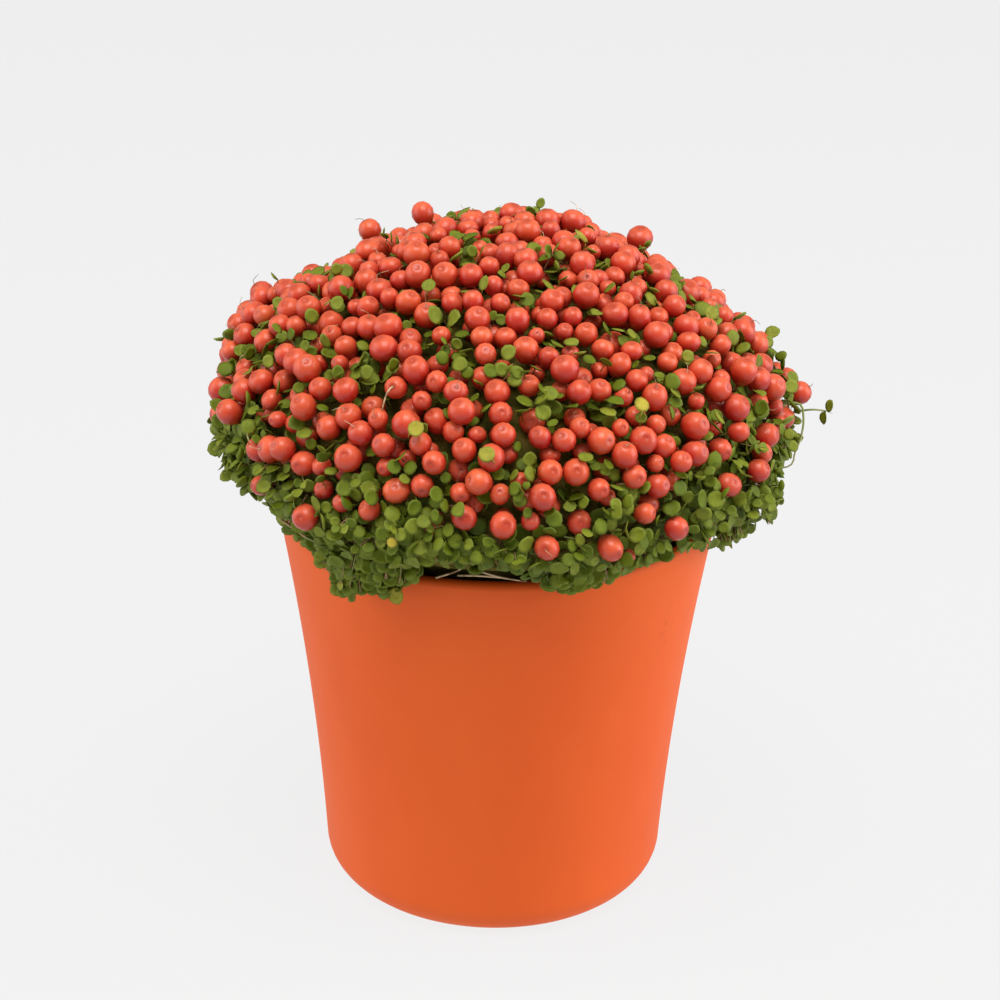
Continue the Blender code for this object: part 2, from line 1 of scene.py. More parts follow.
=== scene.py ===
"""Looks of a coral bead plant in its cover pot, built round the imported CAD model.

Metres, +Z up, the front towards -Y, the origin under the middle of the pot. Fine berries
take the place of the faceted ones, the cushion is covered leaf by leaf, and the pot and
the compost are turned again with smooth walls.
"""

import logging
import math
import random
from dataclasses import dataclass, field
from enum import Enum
from typing import Iterable, Union

import bmesh
import bpy
from mathutils import Matrix, Vector


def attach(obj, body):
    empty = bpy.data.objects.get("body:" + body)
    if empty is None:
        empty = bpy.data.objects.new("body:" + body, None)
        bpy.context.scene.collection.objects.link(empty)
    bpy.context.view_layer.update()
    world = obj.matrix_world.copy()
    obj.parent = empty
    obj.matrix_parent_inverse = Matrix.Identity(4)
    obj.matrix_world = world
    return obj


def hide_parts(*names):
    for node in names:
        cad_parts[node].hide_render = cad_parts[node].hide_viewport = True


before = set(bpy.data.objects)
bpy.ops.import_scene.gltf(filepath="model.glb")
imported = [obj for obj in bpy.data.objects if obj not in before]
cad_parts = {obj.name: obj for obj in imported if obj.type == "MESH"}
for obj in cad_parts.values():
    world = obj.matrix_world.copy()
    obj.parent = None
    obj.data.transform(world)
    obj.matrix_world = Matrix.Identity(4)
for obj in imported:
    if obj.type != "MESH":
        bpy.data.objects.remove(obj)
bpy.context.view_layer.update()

log = logging.getLogger("coral_bead_plant")

Colour = tuple[float, float, float, float]
Given = Union["Value", bpy.types.NodeSocket, float, int, tuple, str, bpy.types.ID, None]
Sockets = dict[str, Given]
Triple = tuple[float, float, float]
Path3D = list[tuple[Vector, float]]   # places along a tube, each with the tube's radius there

GOLDEN_ANGLE = math.pi * (3 - math.sqrt(5))
MM = 0.001
MERGE = 0.00001                   # doubles closer than this are welded
UP = Vector((0.0, 0.0, 1.0))


def linear(red: float, green: float, blue: float) -> Colour:
    """Turn a colour as a screen shows it, from 0 to 255, into the shader's linear one.

    Args:
        red: red from 0 to 255.
        green: green from 0 to 255.
        blue: blue from 0 to 255.

    Returns:
        The linear colour with an alpha of 1.
    """
    def channel(level: float) -> float:
        """One channel."""
        share = level / 255
        return share / 12.92 if share <= 0.04045 else ((share + 0.055) / 1.055) ** 2.4

    return channel(red), channel(green), channel(blue), 1.0


class Value:
    """A number socket that takes part in Python expressions by adding Math nodes."""

    def __init__(self, bench: "Bench", socket: bpy.types.NodeSocket) -> None:
        """Wrap a socket of a bench's tree."""
        self.bench = bench
        self.socket = socket

    def __add__(self, other: Given) -> "Value":
        """Sum."""
        return self.bench.math('ADD', self, other)

    __radd__ = __add__

    def __sub__(self, other: Given) -> "Value":
        """Difference."""
        return self.bench.math('SUBTRACT', self, other)

    def __rsub__(self, other: Given) -> "Value":
        """Difference from a plain number."""
        return self.bench.math('SUBTRACT', other, self)

    def __mul__(self, other: Given) -> "Value":
        """Product."""
        return self.bench.math('MULTIPLY', self, other)

    __rmul__ = __mul__

    def __truediv__(self, other: Given) -> "Value":
        """Quotient."""
        return self.bench.math('DIVIDE', self, other)

    def step(self, low: float, high: float) -> "Value":
        """Rise smoothly from 0 to 1 between two levels.

        Args:
            low: level where the result leaves 0.
            high: level where it reaches 1.

        Returns:
            The smoothed value.
        """
        node = self.bench.node('ShaderNodeMapRange', {"interpolation_type": 'SMOOTHSTEP'},
                               {"Value": self, "From Min": low, "From Max": high})
        return Value(self.bench, node.outputs[0])


class Bench:
    """A node tree, and the one method that adds any node to it."""

    def __init__(self, tree: bpy.types.NodeTree) -> None:
        """Start from an empty tree."""
        self.tree = tree
        self.tree.nodes.clear()

    def node(self, kind: str, settings: dict | None = None,
             inputs: dict | None = None) -> bpy.types.Node:
        """Add a node.

        Args:
            kind: the node's type.
            settings: its settings, set before its sockets; stops are a ramp's colours.
            inputs: values or links of its sockets, by name or by place.

        Returns:
            The node.
        """
        made = self.tree.nodes.new(kind)
        for name, setting in (settings or {}).items():
            if name == "stops":
                self._set_stops(made, setting)
            else:
                setattr(made, name, setting)
        for name, given in (inputs or {}).items():
            self._feed(made.inputs[name], given)
        return made

    def _feed(self, socket: bpy.types.NodeSocket, given: Given) -> None:
        """Link a socket, or set its plain value.

        Args:
            socket: the input socket.
            given: what it gets.
        """
        source = given.socket if isinstance(given, Value) else given
        if isinstance(source, bpy.types.NodeSocket):
            self.tree.links.new(source, socket)
        else:
            socket.default_value = source

    @staticmethod
    def _set_stops(ramp: bpy.types.Node, stops: list[tuple[float, Colour]]) -> None:
        """Set a ramp's stops.

        Args:
            ramp: the ramp's node.
            stops: pairs of place and colour.
        """
        elements = ramp.color_ramp.elements
        while len(elements) < len(stops):
            elements.new(1.0)
        for element, (place, colour) in zip(elements, stops):
            element.position = place
            element.color = colour

    def math(self, operation: str, one: Given, other: Given) -> Value:
        """Add a Math node.

        Args:
            operation: the node's operation.
            one: first term.
            other: second term.

        Returns:
            The node's result.
        """
        node = self.node('ShaderNodeMath', {"operation": operation}, {0: one, 1: other})
        return Value(self, node.outputs[0])

    def attribute(self, name: str) -> Value:
        """Number attribute of a shaded mesh."""
        node = self.node('ShaderNodeAttribute', {"attribute_name": name})
        return Value(self, node.outputs["Fac"])

    def noise(self, scale: float, detail: float = 3.0, stretch: Triple = (1, 1, 1)) -> Value:
        """Noise over the object's own coordinates.

        Args:
            scale: spots per metre.
            detail: finer layers.
            stretch: how many times finer along each axis.

        Returns:
            The noise from 0 to 1.
        """
        place = self.node('ShaderNodeTexCoord').outputs["Object"]
        mapping = self.node('ShaderNodeMapping', {}, {"Vector": place, "Scale": stretch})
        node = self.node('ShaderNodeTexNoise', {},
                         {"Vector": mapping.outputs[0], "Scale": scale, "Detail": detail})
        return Value(self, node.outputs[0])

    def blend(self, share: Given, low: Given, high: Given) -> Given:
        """Mix two colours.

        Args:
            share: how much of the second one.
            low: first colour.
            high: second colour.

        Returns:
            The mixed colour's socket.
        """
        node = self.node('ShaderNodeMix', {"data_type": 'RGBA'}, {0: share, 6: low, 7: high})
        return node.outputs[2]

    def bump(self, height: Given, depth: float) -> Given:
        """Bump from a height, with its depth in metres."""
        node = self.node('ShaderNodeBump', {}, {"Height": height, "Distance": depth})
        return node.outputs[0]


class Finish:
    """A surface finish, which makes its material once."""

    name = "finish"

    def paint(self, bench: Bench) -> Sockets:
        """What the sockets of the Principled shader get."""
        raise NotImplementedError

    def material(self) -> bpy.types.Material:
        """The material of this finish.

        Returns:
            The material, made at the first call.
        """
        found = bpy.data.materials.get(self.name)
        if found:
            return found
        material = bpy.data.materials.new(self.name)
        material.use_nodes = True
        bench = Bench(material.node_tree)
        shader = bench.node('ShaderNodeBsdfPrincipled', {}, self.paint(bench))
        bench.node('ShaderNodeOutputMaterial', {}, {"Surface": shader.outputs[0]})
        return material


@dataclass(frozen=True)
class BerrySkin(Finish):
    """Satin coral skin: painted salmon highlight above and round the eye, painted shade crimson at
    the sides, dark below.
    """

    name: str = "berry_skin"
    orange: Colour = linear(228, 88, 44)
    coral: Colour = linear(214, 62, 36)
    # Tint of the ripest berries, also used as painted shade at the sides.
    crimson: Colour = linear(186, 30, 28)
    # Colour of the painted shade below.
    shaded: Colour = linear(126, 18, 10)
    eye: Colour = linear(140, 14, 8)
    # Colour of the painted highlight.
    painted_highlight: Colour = linear(250, 128, 84)
    roughness: float = 0.28

    def paint(self, bench: Bench) -> Sockets:
        """What the sockets of the Principled shader get.

        Args:
            bench: bench of the material's tree.

        Returns:
            Values and links by the sockets' names.
        """
        tint = bench.attribute("tint")
        under = bench.attribute("under")
        skyward = bench.attribute("skyward")
        ramp = bench.node('ShaderNodeValToRGB', {"stops": [
            (0.0, self.orange), (0.45, self.coral), (1.0, self.crimson)]}, {0: tint})
        mottle = bench.noise(420.0)
        # Painted shade: crimson towards the sides, away from the eye.
        skin = bench.blend(under.step(0.12, 0.6) * 0.4, ramp.outputs[0], self.crimson)
        # Painted highlight: salmon where the skin faces the sky and round the eye, with a random
        # mottle.
        lit = (skyward.step(0.0, 1.0) * 0.36 + (1 - under.step(0.04, 0.4)) * 0.2
               + mottle.step(0.4, 0.75) * 0.12)
        skin = bench.blend(lit, skin, self.painted_highlight)
        # Painted shade: dark towards the stalk and where the skin faces down.
        shadow = under.step(0.4, 1.0) * 0.25 + (1 - skyward.step(-0.8, 0.7)) * 0.55
        skin = bench.blend(shadow, skin, self.shaded)
        skin = bench.blend(bench.attribute("eye") * 0.65, skin, self.eye)
        return {
            "Base Color": skin,
            "Roughness": self.roughness + mottle * 0.12,
            "Specular IOR Level": 0.4,
            "Coat Weight": 0.1,
            "Coat Roughness": 0.15,
            "Normal": bench.bump(mottle, 0.00006),
        }


@dataclass(frozen=True)
class LeafSkin(Finish):
    """Matte leaf: fresh green to olive from leaf to leaf, with a paler rim and painted shade where
    it faces down.
    """

    name: str = "leaf_skin"
    deep: Colour = linear(68, 86, 4)
    fresh: Colour = linear(106, 121, 16)
    olive: Colour = linear(137, 144, 42)
    yellow: Colour = linear(198, 174, 60)
    rim: Colour = linear(146, 158, 64)
    roughness: float = 0.5

    def paint(self, bench: Bench) -> Sockets:
        """What the sockets of the Principled shader get.

        Args:
            bench: bench of the material's tree.

        Returns:
            Values and links by the sockets' names.
        """
        tint = bench.attribute("tint")
        ramp = bench.node('ShaderNodeValToRGB', {"stops": [
            (0.0, self.deep), (0.45, self.fresh), (0.85, self.olive), (1.0, self.yellow)]},
            {0: tint})
        mottle = bench.noise(600.0)
        # Painted shade: darker where the blade faces down.
        shadow = (1 - bench.attribute("skyward").step(-0.7, 0.3)) * 0.3
        blade = bench.blend(mottle.step(0.35, 0.8) * 0.4 + shadow, ramp.outputs[0], self.deep)
        blade = bench.blend(bench.attribute("rim").step(0.7, 1.0) * 0.35, blade, self.rim)
        return {
            "Base Color": blade,
            "Roughness": self.roughness + mottle * 0.2,
            "Specular IOR Level": 0.25,
            "Normal": bench.bump(mottle, 0.00012),
        }


@dataclass(frozen=True)
class StemBark(Finish):
    """Thin stems: pale pinkish brown, greener in places."""

    name: str = "stem_bark"
    pink: Colour = linear(176, 128, 96)
    green: Colour = linear(122, 132, 66)

    def paint(self, bench: Bench) -> Sockets:
        """What the sockets of the Principled shader get.

        Args:
            bench: bench of the material's tree.

        Returns:
            Values and links by the sockets' names.
        """
        mottle = bench.noise(240.0)
        return {
            "Base Color": bench.blend(mottle.step(0.4, 0.6), self.pink, self.green),
            "Roughness": 0.55 + mottle * 0.15,
            "Normal": bench.bump(mottle, 0.0001),
        }


@dataclass(frozen=True)
class DryTwig(Finish):
    """Dry twigs and thread tips: pale straw to brown."""

    name: str = "dry_twig"
    straw: Colour = linear(206, 178, 140)
    brown: Colour = linear(120, 92, 50)

    def paint(self, bench: Bench) -> Sockets:
        """What the sockets of the Principled shader get.

        Args:
            bench: bench of the material's tree.

        Returns:
            Values and links by the sockets' names.
        """
        mottle = bench.noise(300.0)
        return {"Base Color": bench.blend(mottle.step(0.4, 0.6), self.straw, self.brown),
                "Roughness": 0.6 + mottle * 0.2}


@dataclass(frozen=True)
class HeartShade(Finish):
    """Inside of the cushion: stems and leaf litter, kept dark as painted shade."""

    name: str = "heart_shade"
    # Dark colour of the painted shade, mottled with brown litter.
    dark: Colour = linear(68, 68, 20)
    brown: Colour = linear(110, 96, 42)

    def paint(self, bench: Bench) -> Sockets:
        """What the sockets of the Principled shader get.

        Args:
            bench: bench of the material's tree.

        Returns:
            Values and links by the sockets' names.
        """
        mottle = bench.noise(300.0, 5.0)
        return {
            "Base Color": bench.blend(mottle.step(0.4, 0.65), self.dark, self.brown),
            "Roughness": 0.9 + mottle * 0.1,
            "Specular IOR Level": 0.1,
            "Normal": bench.bump(mottle, 0.001),
        }


@dataclass(frozen=True)
class CompostCrumb(Finish):
    """Damp compost: dark brown fibres with paler bits."""

    name: str = "compost_crumb"
    damp: Colour = linear(44, 30, 18)
    dry: Colour = linear(96, 72, 48)

    def paint(self, bench: Bench) -> Sockets:
        """What the sockets of the Principled shader get.

        Args:
            bench: bench of the material's tree.

        Returns:
            Values and links by the sockets' names.
        """
        mottle = bench.noise(500.0, 6.0)
        fleck = bench.noise(1400.0)
        return {
            "Base Color": bench.blend(mottle.step(0.5, 0.7), self.damp, self.dry),
            "Roughness": 0.85 + fleck * 0.15,
            "Specular IOR Level": 0.2,
            "Normal": bench.bump(mottle + fleck * 0.5, 0.0008),
        }


@dataclass(frozen=True)
class MatteClay(Finish):
    """Orange cover pot: matte glaze with a fine grain, faint clouds and a few specks."""

    name: str = "matte_clay"
    orange: Colour = linear(233, 95, 24)
    cloud: Colour = linear(226, 89, 21)
    speck: Colour = linear(168, 66, 30)
    roughness: float = 0.55

    def paint(self, bench: Bench) -> Sockets:
        """What the sockets of the Principled shader get.

        Args:
            bench: bench of the material's tree.

        Returns:
            Values and links by the sockets' names.
        """
        clouds = bench.noise(26.0, 4.0, (1, 1, 0.5))
        grain = bench.noise(2600.0, 2.0)
        smudge = bench.noise(85.0, 5.0, (1, 1, 0.4))
        specks = bench.noise(520.0, 1.0)
        clay = bench.blend(clouds.step(0.35, 0.7), self.orange, self.cloud)
        clay = bench.blend(smudge.step(0.68, 0.78) * specks.step(0.5, 0.62) * 0.2, clay, self.speck)
        return {
            "Base Color": clay,
            "Roughness": self.roughness + grain * 0.1 + clouds * 0.06,
            "Specular IOR Level": 0.3,
            "Normal": bench.bump(grain + clouds * 2.0, 0.00005),
        }


@dataclass(frozen=True)
class PaleFloor(Finish):
    """Plain pale studio floor."""

    name: str = "pale_floor"
    pale: Colour = linear(62, 62, 62)
    glow: float = 0.832           # even light of its own, as a lit light table has

    def paint(self, bench: Bench) -> Sockets:
        """What the sockets of the Principled shader get."""
        return {"Base Color": self.pale, "Roughness": 0.9, "Specular IOR Level": 0.0,
                "Emission Color": (1.0, 1.0, 1.0, 1.0), "Emission Strength": self.glow}


def mesh_object(name: str, bm: bmesh.types.BMesh) -> bpy.types.Object:
    """Turn a bmesh into a smooth shaded object of the scene.

    Args:
        name: name of the object.
        bm: the mesh, which is freed.

    Returns:
        The object.
    """
    mesh = bpy.data.meshes.new(name)
    bm.to_mesh(mesh)
    bm.free()
    mesh.shade_smooth()
    thing = bpy.data.objects.new(name, mesh)
    bpy.context.scene.collection.objects.link(thing)
    return thing


def shape_object(name: str, bm: bmesh.types.BMesh) -> bpy.types.Object:
    """Turn a bmesh into a shape to copy, which isn't in the scene.

    Args:
        name: name of the shape.
        bm: the closed mesh, which is freed.

    Returns:
        The object.
    """
    bmesh.ops.recalc_face_normals(bm, faces=bm.faces)
    mesh = bpy.data.meshes.new(name)
    bm.to_mesh(mesh)
    bm.free()
    return bpy.data.objects.new(name, mesh)


def bridge(bm: bmesh.types.BMesh, rings: list[list[bmesh.types.BMVert]]) -> None:
    """Join rings of points with faces; a ring of one point is a tip.

    Args:
        bm: mesh of the points.
        rings: the rings in order.
    """
    count = max(len(ring) for ring in rings)
    for high, low in zip(rings, rings[1:]):
        for turn in range(count):
            after = (turn + 1) % count
            corners = [high[turn % len(high)], low[turn % len(low)],
                       low[after % len(low)], high[after % len(high)]]
            bm.faces.new(list(dict.fromkeys(corners)))


def geometry_tree(name: str, inputs: dict[str, str]) -> bpy.types.NodeTree:
    """Start a Geometry Nodes tree that has a geometry, other inputs and a result.

    Args:
        name: name of the tree.
        inputs: kinds of the other inputs, by name.

    Returns:
        The tree, with no nodes yet.
    """
    tree = bpy.data.node_groups.new(name, 'GeometryNodeTree')
    tree.interface.new_socket("Geometry", in_out='INPUT', socket_type='NodeSocketGeometry')
    for label, kind in inputs.items():
        tree.interface.new_socket(label, in_out='INPUT', socket_type=f"NodeSocket{kind}")
    tree.interface.new_socket("Geometry", in_out='OUTPUT', socket_type='NodeSocketGeometry')
    return tree


def run_tree(piece: bpy.types.Object, tree: bpy.types.NodeTree, chosen: Sockets) -> None:
    """Run a Geometry Nodes tree on an object and make the result its plain, smooth mesh.

    Args:
        piece: object that holds what the tree reads.
        tree: the tree.
        chosen: what its inputs get, by name.
    """
    modifier = piece.modifiers.new(tree.name, 'NODES')
    modifier.node_group = tree
    for item in tree.interface.items_tree:
        if item.in_out == 'INPUT' and item.name in chosen:
            modifier[item.identifier] = chosen[item.name]
    depsgraph = bpy.context.evaluated_depsgraph_get()
    mesh = bpy.data.meshes.new_from_object(piece.evaluated_get(depsgraph))
    mesh.name = piece.name
    piece.modifiers.clear()
    piece.data = mesh
    mesh.shade_smooth()


def lathe(name: str, profile: Iterable[tuple[float, float]], segments: int) -> bpy.types.Object:
    """Turn a profile of (radius, height) points round the Z axis.

    Args:
        name: name of the object.
        profile: points from the axis back to the axis.
        segments: faces round the axis.

    Returns:
        The closed, smooth shaded object.
    """
    bm = bmesh.new()
    points = [bm.verts.new((radius, 0.0, height)) for radius, height in profile]
    edges = [bm.edges.new(pair) for pair in zip(points, points[1:])]
    bmesh.ops.spin(bm, geom=points + edges, axis=UP, cent=(0.0, 0.0, 0.0),
                   angle=math.tau, steps=segments, use_merge=True)
    bmesh.ops.remove_doubles(bm, verts=bm.verts, dist=MERGE)
    bmesh.ops.recalc_face_normals(bm, faces=bm.faces)
    return mesh_object(name, bm)


def arc(centre: tuple[float, float], radius: float, start: float, end: float,
        spans: int) -> list[tuple[float, float]]:
    """Points of a circular arc in the (radius, height) plane, both ends included.

    Args:
        centre: centre of the arc.
        radius: its radius.
        start: first turn, in radians.
        end: last turn, in radians.
        spans: stretches between the points.

    Returns:
        The points.
    """
    turns = [start + (end - start) * step / spans for step in range(spans + 1)]
    return [(centre[0] + radius * math.cos(turn), centre[1] + radius * math.sin(turn))
            for turn in turns]


def scatter(rng: random.Random, spread: float) -> Vector:
    """Random vector, spread alike along every axis."""
    return Vector([rng.gauss(0.0, spread) for _ in range(3)])


def settle(piece: bpy.types.Object, slot: str, *nodes: str) -> None:
    """Hand a finished piece to the frame.

    Args:
        piece: the piece.
        slot: the record's material slot; not used.
        nodes: CAD nodes that it stands for.
    """
    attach(piece, "root")
    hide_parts(*nodes)
    log.info("%s: %d faces", piece.name, len(piece.data.polygons))


@dataclass
class Sites:
    """Places where a shape repeats, as the points that the Geometry Nodes read."""

    name: str
    places: list[Vector]
    facing: list[Vector]          # way each copy's upper side looks
    toward: list[Vector]          # way each copy's tip points
    girth: list[float]            # size of each copy
    shade: list[float]            # its place in the finish's range of colours

    @classmethod
    def named(cls, name: str) -> "Sites":
        """No sites yet, under a name."""
        return cls(name, [], [], [], [], [])

    def add(self, place: Vector, facing: Vector, toward: Vector, girth: float,
            shade: float) -> None:
        """Add a site.

        Args:
            place: middle of the copy.
            facing: way its upper side looks.
            toward: way its tip points.
            girth: its size.
            shade: its place in the range of colours.
        """
        self.places.append(place)
        self.facing.append(facing)
        self.toward.append(toward)
        self.girth.append(girth)
        self.shade.append(shade)

    def cloud(self) -> bpy.types.Object:
        """Points with their attributes.

        Returns:
            An object of loose points.
        """
        mesh = bpy.data.meshes.new(self.name)
        mesh.from_pydata([tuple(place) for place in self.places], [], [])
        for label, ways in (("facing", self.facing), ("toward", self.toward)):
            layer = mesh.attributes.new(label, 'FLOAT_VECTOR', 'POINT')
            layer.data.foreach_set("vector", [part for way in ways for part in way])
        for label, numbers in (("girth", self.girth), ("shade", self.shade)):
            layer = mesh.attributes.new(label, 'FLOAT', 'POINT')
            layer.data.foreach_set("value", numbers)
        thing = bpy.data.objects.new(self.name, mesh)
        bpy.context.scene.collection.objects.link(thing)
        return thing


class CopyTree:
    """Geometry Nodes that put one of a few shapes on every site, facing its own way."""

    def __init__(self) -> None:
        """Build the tree with its named inputs."""
        self.tree = geometry_tree("copies_on_sites", {
            "Shapes": "Collection", "Finish": "Material", "Seed": "Int", "Stretch": "Float",
            "Colour spread": "Float"})
        self.bench = Bench(self.tree)
        self._wire()

    def _read(self, name: str, kind: str) -> bpy.types.NodeSocket:
        """Read an attribute of the sites.

        Args:
            name: name of the attribute.
            kind: its data type.

        Returns:
            Its socket.
        """
        node = self.bench.node('GeometryNodeInputNamedAttribute', {"data_type": kind},
                               {"Name": name})
        return node.outputs["Attribute"]

    def _random(self, low: Given, high: Given, seed: Given) -> Value:
        """Draw a random number for each site.

        Args:
            low: least number.
            high: greatest number.
            seed: start of the draws.

        Returns:
            The number.
        """
        node = self.bench.node('FunctionNodeRandomValue', {"data_type": 'FLOAT'},
                               {2: low, 3: high, "Seed": seed})
        return Value(self.bench, node.outputs[1])

    def _wire(self) -> None:
        """Wire the tree from the sites to the copies with their finish."""
        bench = self.bench
        given = bench.node('NodeGroupInput').outputs
        seed = Value(bench, given["Seed"])
        shapes = bench.node('GeometryNodeCollectionInfo', {}, {
            "Collection": given["Shapes"], "Separate Children": True, "Reset Children": True})
        pick = bench.node('FunctionNodeRandomValue', {"data_type": 'INT'},
                          {4: 0, 5: 99, "Seed": seed})
        upright = bench.node('FunctionNodeAlignRotationToVector', {"axis": 'Z'},
                             {"Vector": self._read("facing", 'FLOAT_VECTOR')})
        turned = bench.node('FunctionNodeAlignRotationToVector',
                            {"axis": 'Y', "pivot_axis": 'Z'},
                            {"Rotation": upright.outputs[0],
                             "Vector": self._read("toward", 'FLOAT_VECTOR')})
        girth = Value(bench, self._read("girth", 'FLOAT'))
        stretch = self._random(1 - Value(bench, given["Stretch"]),
                               1 + Value(bench, given["Stretch"]), seed + 1)
        size = bench.node('ShaderNodeCombineXYZ', {},
                          {0: girth / stretch, 1: girth, 2: girth * stretch})
        copies = bench.node('GeometryNodeInstanceOnPoints', {}, {
            "Points": given["Geometry"], "Instance": shapes.outputs[0],
            "Pick Instance": True, "Instance Index": pick.outputs[2],
            "Rotation": turned.outputs[0], "Scale": size.outputs[0]})
        spread = Value(bench, given["Colour spread"])
        tint = Value(bench, self._read("shade", 'FLOAT')) + self._random(
            0 - spread, spread, seed + 2)
        dyed = bench.node('GeometryNodeStoreNamedAttribute',
                          {"data_type": 'FLOAT', "domain": 'INSTANCE'},
                          {"Geometry": copies.outputs[0], "Name": "tint", "Value": tint})
        real = bench.node('GeometryNodeRealizeInstances', {}, {"Geometry": dyed.outputs[0]})
        # The normal's height, stored as skyward, drives the painted light and shade of the
        # finishes.
        normal = bench.node('GeometryNodeInputNormal').outputs[0]
        slope = bench.node('ShaderNodeSeparateXYZ', {}, {"Vector": normal})
        sloped = bench.node('GeometryNodeStoreNamedAttribute',
                            {"data_type": 'FLOAT', "domain": 'POINT'},
                            {"Geometry": real.outputs[0], "Name": "skyward",
                             "Value": slope.outputs[2]})
        finished = bench.node('GeometryNodeSetMaterial', {}, {
            "Geometry": sloped.outputs[0], "Material": given["Finish"]})
        bench.node('NodeGroupOutput', {}, {"Geometry": finished.outputs[0]})

    def grow(self, sites: Sites, shapes: bpy.types.Collection, finish: Finish, seed: int,
             stretch: float, spread: float) -> bpy.types.Object:
        """Copy the shapes onto the sites and make the result a plain mesh.

        Args:
            sites: where the copies go.
            shapes: collection of the shapes to pick from.
            finish: finish of the copies.
            seed: start of the random draws.
            stretch: how far a copy's height strays from its width.
            spread: how far a copy's tint strays from its site's.

        Returns:
            The piece.
        """
        piece = sites.cloud()
        run_tree(piece, self.tree, {
            "Shapes": shapes, "Finish": finish.material(), "Seed": seed, "Stretch": stretch,
            "Colour spread": spread})
        for label in ("facing", "toward", "girth", "shade"):
            layer = piece.data.attributes.get(label)
            if layer:
                piece.data.attributes.remove(layer)
        return piece


class TubeTree:
    """Geometry Nodes that run a round tube of changing width along smoothed paths."""

    def __init__(self) -> None:
        """Build the tree with its named inputs."""
        self.tree = geometry_tree("tubes_on_paths", {
            "Sides": "Int", "Step": "Float", "Finish": "Material"})
        bench = Bench(self.tree)
        given = bench.node('NodeGroupInput').outputs
        curve = bench.node('GeometryNodeMeshToCurve', {}, {"Mesh": given["Geometry"]})
        smooth = bench.node('GeometryNodeCurveSplineType', {"spline_type": 'CATMULL_ROM'},
                            {"Curve": curve.outputs[0]})
        even = bench.node('GeometryNodeResampleCurve', {"mode": 'LENGTH'},
                          {"Curve": smooth.outputs[0], "Length": given["Step"]})
        girth = bench.node('GeometryNodeInputNamedAttribute', {"data_type": 'FLOAT'},
                           {"Name": "girth"})
        wide = bench.node('GeometryNodeSetCurveRadius', {}, {
            "Curve": even.outputs[0], "Radius": girth.outputs[0]})
        ring = bench.node('GeometryNodeCurvePrimitiveCircle', {"mode": 'RADIUS'},
                          {"Resolution": given["Sides"], "Radius": 1.0})
        tube = bench.node('GeometryNodeCurveToMesh', {}, {
            "Curve": wide.outputs[0], "Profile Curve": ring.outputs[0], "Fill Caps": True,
            "Scale": bench.node('GeometryNodeInputRadius').outputs[0]})
        real = bench.node('GeometryNodeRealizeInstances', {}, {"Geometry": tube.outputs[0]})
        finished = bench.node('GeometryNodeSetMaterial', {}, {
            "Geometry": real.outputs[0], "Material": given["Finish"]})
        bench.node('NodeGroupOutput', {}, {"Geometry": finished.outputs[0]})

    def lay(self, name: str, paths: list[Path3D], finish: Finish, step: float = 1.2 * MM,
            sides: int = 6) -> bpy.types.Object:
        """Run tubes along paths as one plain mesh.

        Args:
            name: name of the piece.
            paths: the paths.
            finish: finish of the tubes.
            step: length of a tube's stretches.
            sides: faces round a tube.

        Returns:
            The piece.
        """
        bm = bmesh.new()
        girth = bm.verts.layers.float.new("girth")
        for path in paths:
            last = None
            for place, radius in path:
                vert = bm.verts.new(place)
                vert[girth] = radius
                if last:
                    bm.edges.new((last, vert))
                last = vert
        piece = mesh_object(name, bm)
        run_tree(piece, self.tree, {"Sides": sides, "Step": step, "Finish": finish.material()})
        bm = bmesh.new()
        bm.from_mesh(piece.data)
        bmesh.ops.remove_doubles(bm, verts=bm.verts, dist=MERGE)
        bmesh.ops.recalc_face_normals(bm, faces=bm.faces)
        bm.to_mesh(piece.data)
        bm.free()
        piece.data.shade_smooth()
        return piece


class Crowd:
    """Balls in a grid of cells, so that near ones are found quickly."""

    def __init__(self, cell: float) -> None:
        """Start with no balls and the size of a cell."""
        self.cell = cell
        self.cells: dict[tuple[int, int, int], list[tuple[Vector, float]]] = {}

    def _key(self, place: Vector) -> tuple[int, int, int]:
        """Cell that holds a place."""
        return tuple(math.floor(part / self.cell) for part in place)

    def add(self, place: Vector, radius: float) -> None:
        """Add a ball."""
        self.cells.setdefault(self._key(place), []).append((place, radius))

    def near(self, place: Vector) -> list[tuple[Vector, float]]:
        """Balls in the cells round a place.

        Args:
            place: where to look.

        Returns:
            The balls, at least those closer than a cell.
        """
        low = self._key(place)
        steps = (-1, 0, 1)
        return [ball for x in steps for y in steps for z in steps
                for ball in self.cells.get((low[0] + x, low[1] + y, low[2] + z), ())]


@dataclass(frozen=True)
class Lump:
    """A place where the cushion bulges or dips."""

    azimuth: float                # in degrees
    rise: float
    lift: float                   # in metres
    spread: float                 # in degrees


